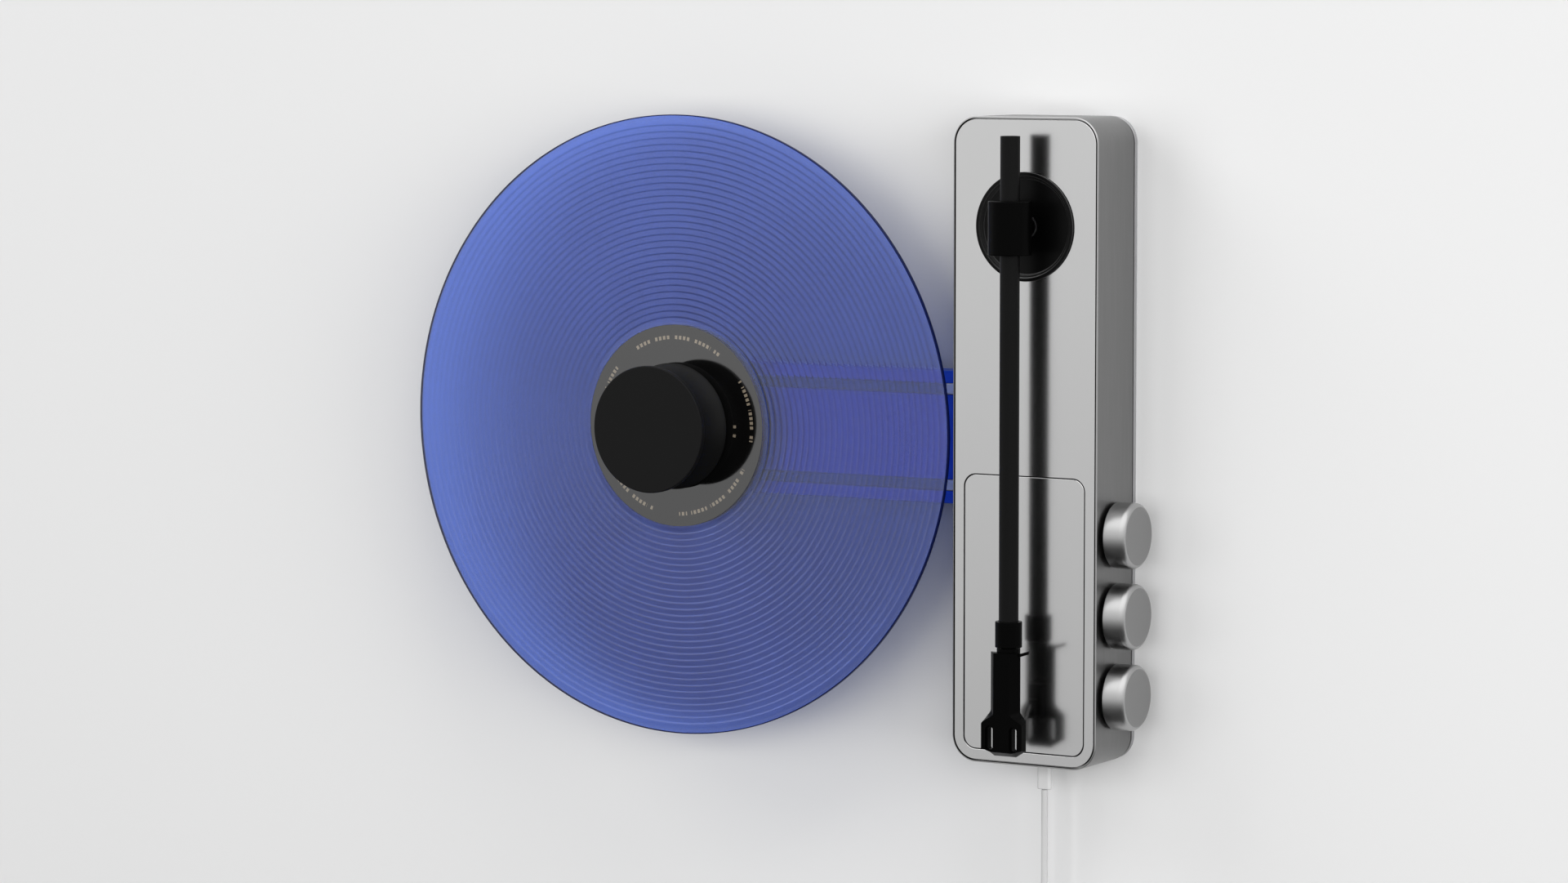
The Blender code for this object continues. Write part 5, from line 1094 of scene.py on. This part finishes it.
@dataclass
class Tonearm:
    """Flange, tube, sleeve, collar, headshell and finger lift.

    A profile's rows are radius, height along the axis and corner radius. The headshell's heights count
    up from its nose.
    """

    sides: int = 96
    flange_profile: Corners = (
        (0.0083, -0.0060, 0), (0.0083, -0.0019, 0), (0.0056, -0.0019, 0), (0.0056, -0.0010, 0.0001),
        (0.0222, -0.0010, 0.0004), (0.0229, 0.0005, 0.0001), (0.0235, 0.0005, 0.0001),
        (0.0240, 0.0010, 0.0001), (0.0255, 0.0010, 0.0003), (0.0255, SEAT, 0), (0.0233, SEAT, 0),
        (0.0233, -0.0060, 0))
    flange_sides: int = 128
    flange_support: float = 0.00005
    bevel_facing: Pair = (-0.95, -0.2)
    tube_profile: Corners = ((0.0037, -0.0940, 0.0001), (0.0046, -0.0940, 0.0002), (0.0046, 0.1435, 0.0002),
                             (0.0037, 0.1435, 0.0001))
    sleeve_profile: Corners = ((0.0049, -0.0125, 0.0001), (0.0102, -0.0125, 0.0004),
                               (0.0102, 0.0125, 0.0004), (0.0049, 0.0125, 0.0001))
    sleeve_steps: int = 4
    collar_profile: Corners = ((0.0049, -0.0941, 0.0001), (0.0063, -0.0941, 0.0003),
                               (0.0063, -0.0820, 0.0003), (0.0049, -0.0820, 0.0001))
    tongue_half: Pair = (0.0031, 0.0042)
    tongue_outs: Pair = (0.0027, 0.0097)
    pin_radius: float = 0.0018
    pin_half: float = 0.0122
    pin_out: float = 0.0073
    pin_sides: int = 32
    stem_half: float = 0.0077
    stem_top: float = 0.0499
    side_half: float = 0.0107
    flare_ups: Pair = (0.0175, 0.0229)
    flare_shift: float = 0.4
    flare_steps: int = 16
    side_low: float = 0.0042
    side_share: float = 0.25
    nose_half: float = 0.0057
    nose_low: float = 0.0011
    chamfer: float = 0.0034
    nose_lift: float = 0.0022
    head_outs: Size = (0.0175, 0.0178, 0.0219)
    socket_profile: tuple[Pair, ...] = (
        (0.0, 0.0332), (0.0040, 0.0332), (0.0050, 0.0342), (0.0050, 0.0493), (0.0055, 0.0493),
        (0.0055, 0.0517), (0.0034, 0.0517), (0.0034, 0.0622), (0.0, 0.0622))
    socket_sides: int = 64
    slot_at: Pair = (0.0063, 0.0096)
    slot_size: Size = (0.0024, 0.0106, 0.00115)
    slot_recess: Size = (0.0044, 0.0122, 0.0021)
    slot_steps: int = 10
    recess_out: float = 0.0209
    lift_ends: tuple[Pair, ...] = ((0.0078, 0.0498), (0.0124, 0.0513))
    lift_half: float = 0.0006
    lift_out: float = 0.0184
    lift_height: float = 0.0015

    def ring(self, name: str, profile: Corners, steps: int = 3, up: float = 0.0) -> Piece:
        """A turned piece about the tube's axis."""
        return lathe(name, rounded_path(profile, steps, loop=True), self.sides, Axis.UP, (0.0, up, TUBE_OUT))

    def flange(self) -> None:
        """The dished mounting flange with its fine bevel ring, whose faces take a lighter black as a painted
        highlight.
        """
        profile = rounded_path(self.flange_profile, loop=True, support=self.flange_support)
        flange = lathe("pivot_flange", profile, self.flange_sides, at=(0.0, PIVOT_UP, 0.0))
        hand_over(flange, GLOSS_BLACK, "tower", "arm_flange")
        flattest, steepest = self.bevel_facing
        second_finish(flange, BEVEL_PAINTED_HIGHLIGHT, lambda centre, normal: flattest < normal.y < steepest)

    def tube(self) -> None:
        """The long tube, open at both ends."""
        tube = self.ring("wand_tube", self.tube_profile)
        hand_over(tube, MATT_BLACK, "tonearm", "arm_tube")

    def sleeve(self) -> None:
        """The pivot sleeve, slotted behind for the post's tongue and bored for the tilt pin."""
        sleeve = self.ring("pivot_sleeve", self.sleeve_profile, self.sleeve_steps, PIVOT_UP)
        (half_x, half_up), (low, high) = self.tongue_half, self.tongue_outs
        slot = brick((-half_x, PIVOT_UP - half_up, low), (half_x, PIVOT_UP + half_up, high))
        bore = plug(self.pin_radius, (-self.pin_half, self.pin_half), self.pin_sides, Axis.RIGHT,
                    (0.0, PIVOT_UP, self.pin_out))
        combine(sleeve, Shape().add(slot))
        combine(sleeve, Shape().add(bore))
        hand_over(sleeve, SATIN_BLACK, "tonearm", "arm_sleeve")

    def collar(self) -> None:
        """The turning collar that holds the headshell."""
        hand_over(self.ring("lock_collar", self.collar_profile), SATIN_BLACK,
                  "headshell_collar", "locking_collar")

    def head_outline(self, chamfer: float, nose_lift: float) -> np.ndarray:
        """Half of the headshell's outline mirrored: stem, S-shaped flare, sides and nose.

        Along the flare the half width is stem + (side - stem) * (1 - cos(turn)) / 2 while the height
        falls evenly, with turn from 0 to half a turn.
        """
        stem, side = self.stem_half - chamfer, self.side_half
        low, high = (up - self.flare_shift * chamfer for up in self.flare_ups)
        turn = np.linspace(0, math.pi, self.flare_steps + 1)
        flare = np.column_stack((stem + (side - stem) * (1 - np.cos(turn)) / 2,
                                 high - (high - low) * turn / math.pi))
        half = np.vstack((((stem, self.stem_top),), flare,
                          ((side, self.side_low + nose_lift * self.side_share),
                           (self.nose_half, self.nose_low + nose_lift))))
        return np.vstack((half, half[::-1] * (-1, 1))) + (0.0, NOSE_UP)

    def headshell(self) -> None:
        """The headshell: a chamfered stem that flares to a slotted head, on a turned socket."""
        full, front = self.head_outline(0.0, 0.0), self.head_outline(self.chamfer, self.nose_lift)
        head = Shape().add(layers((full, full, front), self.head_outs)).build("cartridge_shell")
        socket = turned(np.array(self.socket_profile), self.socket_sides, Axis.UP, (0.0, NOSE_UP, TUBE_OUT))
        combine(head, Shape().add(socket), Operation.JOIN)
        back, face = self.head_outs[0] - PAST, self.head_outs[-1] + PAST
        for size, start in ((self.slot_size, back), (self.slot_recess, self.recess_out)):
            cuts = Shape()
            for side in (-1, 1):
                slot = rounded_rectangle(*size, self.slot_steps, side * self.slot_at[0],
                                         NOSE_UP + self.slot_at[1])
                cuts.add(layers((slot, slot), (start, face)))
            combine(head, cuts)
        hand_over(head, SATIN_BLACK, "tonearm", "headshell")

    def finger(self) -> None:
        """The finger lift: a thin bar that rises slightly to the right from the stem's top."""
        half, low = self.lift_half, -self.lift_height
        section = np.array(((-half, low), (half, low), (half, 0.0), (-half, 0.0)))
        rows = [np.column_stack((np.full(4, x), NOSE_UP + top + section[:, 1], self.lift_out + section[:, 0]))
                for x, top in self.lift_ends]
        finger = Shape().add(np.stack(rows)).build("side_lift")
        hand_over(finger, SATIN_BLACK, "tonearm", "finger_lift")

    def build(self) -> None:
        """Builds the tonearm's pieces."""
        self.flange()
        self.tube()
        self.sleeve()
        self.collar()
        self.headshell()
        self.finger()


@dataclass
class Cord:
    """The thin supply cord: straight down, a slant bend, and a piled coil."""

    diameter: float = 0.0031
    plug_end: float = -0.1663
    drop: float = 0.0467
    bend_radius: float = 0.0130
    lead_in: float = 0.0141
    out: float = -0.0220
    spacing: float = 0.0036
    layers: int = 4
    turns: float = 10.125
    mean_radius: float = 0.0171
    per_turn: int = 48
    drop_points: int = 8
    bend_steps: int = 8
    slant_steps: int = 4
    roundness: int = 3

    def route(self) -> np.ndarray:
        """Points of the whole cord in the front frame.

        The run is a line, an arc of an eighth of a turn and a line. The coil's radius swings between
        an outer and an inner turn, once for each layer, and it climbs in the half turn round each
        reversal. It starts a diameter beyond the run.
        """
        arc = np.linspace(0, math.pi / 4, self.bend_steps + 1)[1:]
        low = self.plug_end - self.drop
        bend = np.column_stack((self.bend_radius * (1 - np.cos(arc)), low - self.bend_radius * np.sin(arc)))
        straight = np.column_stack((np.zeros(self.drop_points),
                                    np.linspace(self.plug_end, low, self.drop_points)))
        heading = np.array((math.sin(math.pi / 4), -math.cos(math.pi / 4)))
        slant = bend[-1] + heading * self.lead_in * np.linspace(0, 1, self.slant_steps + 1)[1:, None]
        run = np.vstack((straight, bend, slant))
        run = np.column_stack((run, np.full(len(run), self.out)))
        rise = self.spacing * self.turns / self.layers
        outer = self.mean_radius + rise / 2
        inward = np.array((heading[1], -heading[0]))
        start = slant[-1] + heading * SEAT
        centre = start + heading * self.diameter + inward * outer
        angle = np.linspace(0, self.turns, int(self.turns * self.per_turn) + 1)
        phase = angle / (self.turns / self.layers)
        radius = outer - rise * (1 - np.abs(phase % 2 - 1))
        climb = np.zeros_like(angle)
        for reversal in range(1, self.layers):
            climb += np.clip((angle - reversal * self.turns / self.layers) / 0.5 + 0.5, 0, 1)
        turn = math.atan2(-inward[1], -inward[0]) - 2 * math.pi * angle
        coil = np.column_stack((centre[0] + radius * np.cos(turn), centre[1] + radius * np.sin(turn),
                                self.out - self.spacing * climb))
        first = np.array((*start, self.out))
        last = coil[-1] - (0.0, self.diameter, 0.0)
        return np.vstack((run, first, coil, last))

    def build(self) -> None:
        points = to_world(self.route())
        curve = bpy.data.curves.new("supply_cord", "CURVE")
        curve.dimensions = "3D"
        curve.bevel_depth = self.diameter / 2
        curve.bevel_resolution = self.roundness
        curve.use_fill_caps = True
        spline = curve.splines.new("POLY")
        spline.points.add(len(points) - 1)
        spline.points.foreach_set("co", np.column_stack((points, np.ones(len(points)))).ravel())
        spline.use_smooth = True
        curve.materials.append(CORD_SHEATH.build())
        cord = to_scene("supply_cord", curve)
        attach(cord, "tower")
        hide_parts("cord_run", "cord_coil")


@dataclass
class KeptSolids:
    """Solids that keep their own shape and get a detailed finish."""

    finishes: dict[Finish, tuple[str, ...]] = field(default_factory=lambda: {
        STEEL: ("upper_back_screw", "lower_back_screw", "hub_cover", "front_bearing", "rear_bearing",
                "flange_ring_nut", "arm_bearing", "spindle", "shaft_clip", "rotor_cup", "tilt_pin",
                "upper_control", "middle_control", "lower_control", "upper_knob_shaft",
                "middle_knob_shaft", "lower_knob_shaft", "arm_root_block"),
        MATT_BLACK: ("hatch_frame", "hub_housing", "counterweight_slug", "power_socket"),
        SATIN_BLACK: ("arm_post", "cartridge_body"),
        RUBBER: ("clamp_pad", "motor_lead", "cord_tie"),
        BRASS: ("post_nut", "clamp_bush"),
        COPPER: ("stator_coils",),
        CORE_STEEL: ("stator_core",),
        MAGNET: ("rotor_magnets", "stylus_arm"),
        BOARD_GREEN: ("main_board",),
        PALE_PLASTIC: ("power_plug", "far_plug"),
    })

    def build(self) -> None:
        """Puts each finish in the slots of its solids."""
        for finish, names in self.finishes.items():
            material = finish.build()
            for name in names:
                for slot in bpy.data.objects[name].material_slots:
                    slot.material = material
            log.info("%s: %d solids", finish.name, len(names))


# ---------------------------------------------------------------- room, light and camera


@dataclass
class Studio:
    """Camera, wall, lamps and surroundings.

    A softbox is given by its degrees to the right of straight ahead of the wall, its degrees above the
    object and its watts. The room's shades are levels at heights from 0 at the floor to 1 overhead.
    """

    lens: float = 114.305
    sensor: float = 36.0
    nearest: float = 0.05
    azimuth: float = 30.611
    elevation: float = 5.186
    roll: float = -0.0388
    eye: Place = (1.081313, -2.088779, 0.210846)
    wall_half: float = 4.0
    wall_y: float = 0.0002
    wall_tones: tuple[Colour, Colour] = ((0.81, 0.81, 0.81), (0.83, 0.83, 0.83))
    wall_cloud: float = 0.25
    wall_roughness: float = 0.9
    wall_specular: float = 0.2
    wall_skip: float = 0.0012
    softboxes: tuple[Place, ...] = (
        (-65.0, 35.0, 25.5), (-35.0, 5.0, 17.5), (0.0, 5.0, 22.0), (35.0, 5.0, 24.0), (65.0, 5.0, 35.5),
        (45.0, 65.0, 24.0))
    softbox_away: float = 3.0
    softbox_size: float = 1.5
    fill: float = 0.12
    room_ends: tuple[Pair, Pair] = ((0.35, 0.36), (0.505, 1.0))
    room_stops: tuple[Pair, ...] = ((0.20, 0.08), (0.62, 1.1), (0.80, 1.9))

    def camera(self) -> None:
        """Places the camera: it looks along its azimuth and elevation, turned by a slight roll."""
        across, rise, lean = (math.radians(angle) for angle in (self.azimuth, self.elevation, self.roll))
        ahead = Vector((-math.sin(across) * math.cos(rise), math.cos(across) * math.cos(rise),
                        -math.sin(rise)))
        level = Vector((math.cos(across), math.sin(across), 0.0))
        upright = level.cross(ahead)
        right = math.cos(lean) * level + math.sin(lean) * upright
        up = -math.sin(lean) * level + math.cos(lean) * upright
        data = bpy.data.cameras.new("camera")
        data.lens = self.lens
        data.sensor_width = self.sensor
        data.clip_start = self.nearest
        camera = to_scene("camera", data)
        turn = Matrix((right, up, -ahead)).transposed().to_4x4()
        camera.matrix_world = Matrix.Translation(self.eye) @ turn
        bpy.context.scene.camera = camera

    def wall(self) -> None:
        """The pale wall. It is clear from behind and to rays that start on what touches it."""
        half, y = self.wall_half, self.wall_y
        mesh = bpy.data.meshes.new("wall")
        mesh.from_pydata([(-half, y, -half), (half, y, -half), (half, y, half), (-half, y, half)], [],
                         [(0, 1, 2, 3)])
        wall = to_scene("wall", mesh)
        material, graph, shader = new_material("wall_paint")
        cloud = graph.noise(graph.place(), self.wall_cloud)
        graph.feed(shader, {"Roughness": self.wall_roughness, "Specular IOR Level": self.wall_specular,
                            "Base Color": graph.blend(cloud, *self.wall_tones)})
        path = graph.add("ShaderNodeLightPath").outputs
        touching = graph.maths("LESS_THAN", path["Ray Length"], self.wall_skip)
        behind = graph.add("ShaderNodeNewGeometry").outputs["Backfacing"]
        graph.show(graph.maths("MAXIMUM", behind, touching), shader, graph.add("ShaderNodeBsdfTransparent"))
        mesh.materials.append(material)

    def lamp(self, name: str, across: float, rise: float, power: float) -> None:
        """Adds a soft square lamp that faces the object and isn't mirrored in metal.

        Args:
            name: the lamp's name.
            across: degrees to the right of straight ahead of the wall.
            rise: degrees above the object.
            power: watts.
        """
        data = bpy.data.lights.new(name, "AREA")
        data.size = self.softbox_size
        data.energy = power
        turn, lift = math.radians(across), math.radians(rise)
        away = Vector((math.sin(turn) * math.cos(lift), -math.cos(turn) * math.cos(lift), math.sin(lift)))
        lamp = to_scene(name, data)
        lamp.location = away * self.softbox_away
        lamp.rotation_euler = (-away).to_track_quat("-Z", "Y").to_euler()
        lamp.visible_glossy = False

    def surroundings(self) -> None:
        """The pale room: light from all round, seen brighter by camera and mirrors, darker low down."""
        world = bpy.data.worlds.new("room")
        bpy.context.scene.world = world
        world.use_nodes = True
        graph = Graph(world.node_tree)
        light = world.node_tree.nodes["Background"]
        graph.feed(light, {"Color": (1.0, 1.0, 1.0), "Strength": self.fill})
        apart = graph.add("ShaderNodeSeparateXYZ",
                          {"Vector": graph.add("ShaderNodeTexCoord").outputs["Generated"]})
        shade = graph.add("ShaderNodeValToRGB", {"Fac": graph.span(apart.outputs["Z"], 0.0, 1.0, -1.0)})
        stops = shade.color_ramp.elements
        for stop, (position, level) in zip(stops, self.room_ends):
            stop.position = position
            stop.color = (level, level, level, 1)
        for position, level in self.room_stops:
            stops.new(position).color = (level, level, level, 1)
        seen = graph.add("ShaderNodeBackground", {"Color": shade.outputs["Color"], "Strength": 1.0})
        path = graph.add("ShaderNodeLightPath").outputs
        direct = graph.maths("MAXIMUM", path["Is Camera Ray"], path["Is Glossy Ray"])
        graph.show(graph.maths("MAXIMUM", direct, path["Is Transmission Ray"]), light, seen, "World Output")

    def build(self) -> None:
        """Builds the studio round the part."""
        self.wall()
        for index, softbox in enumerate(self.softboxes, 1):
            self.lamp(f"softbox_{index}", *softbox)
        self.surroundings()
        bpy.context.scene.view_settings.view_transform = "Standard"


def main() -> None:
    """Builds every sub-assembly in order."""
    logging.basicConfig(level=logging.INFO, format="%(message)s")
    studio = Studio()
    studio.camera()
    Cord().build()
    for assembly in (Tower(), Knobs(), PlatterArm(), Platter(), Record(), Clamp(), Tonearm(), KeptSolids(),
                     studio):
        assembly.build()
        log.info("%s done", type(assembly).__name__)


if __name__ == "__main__":
    main()
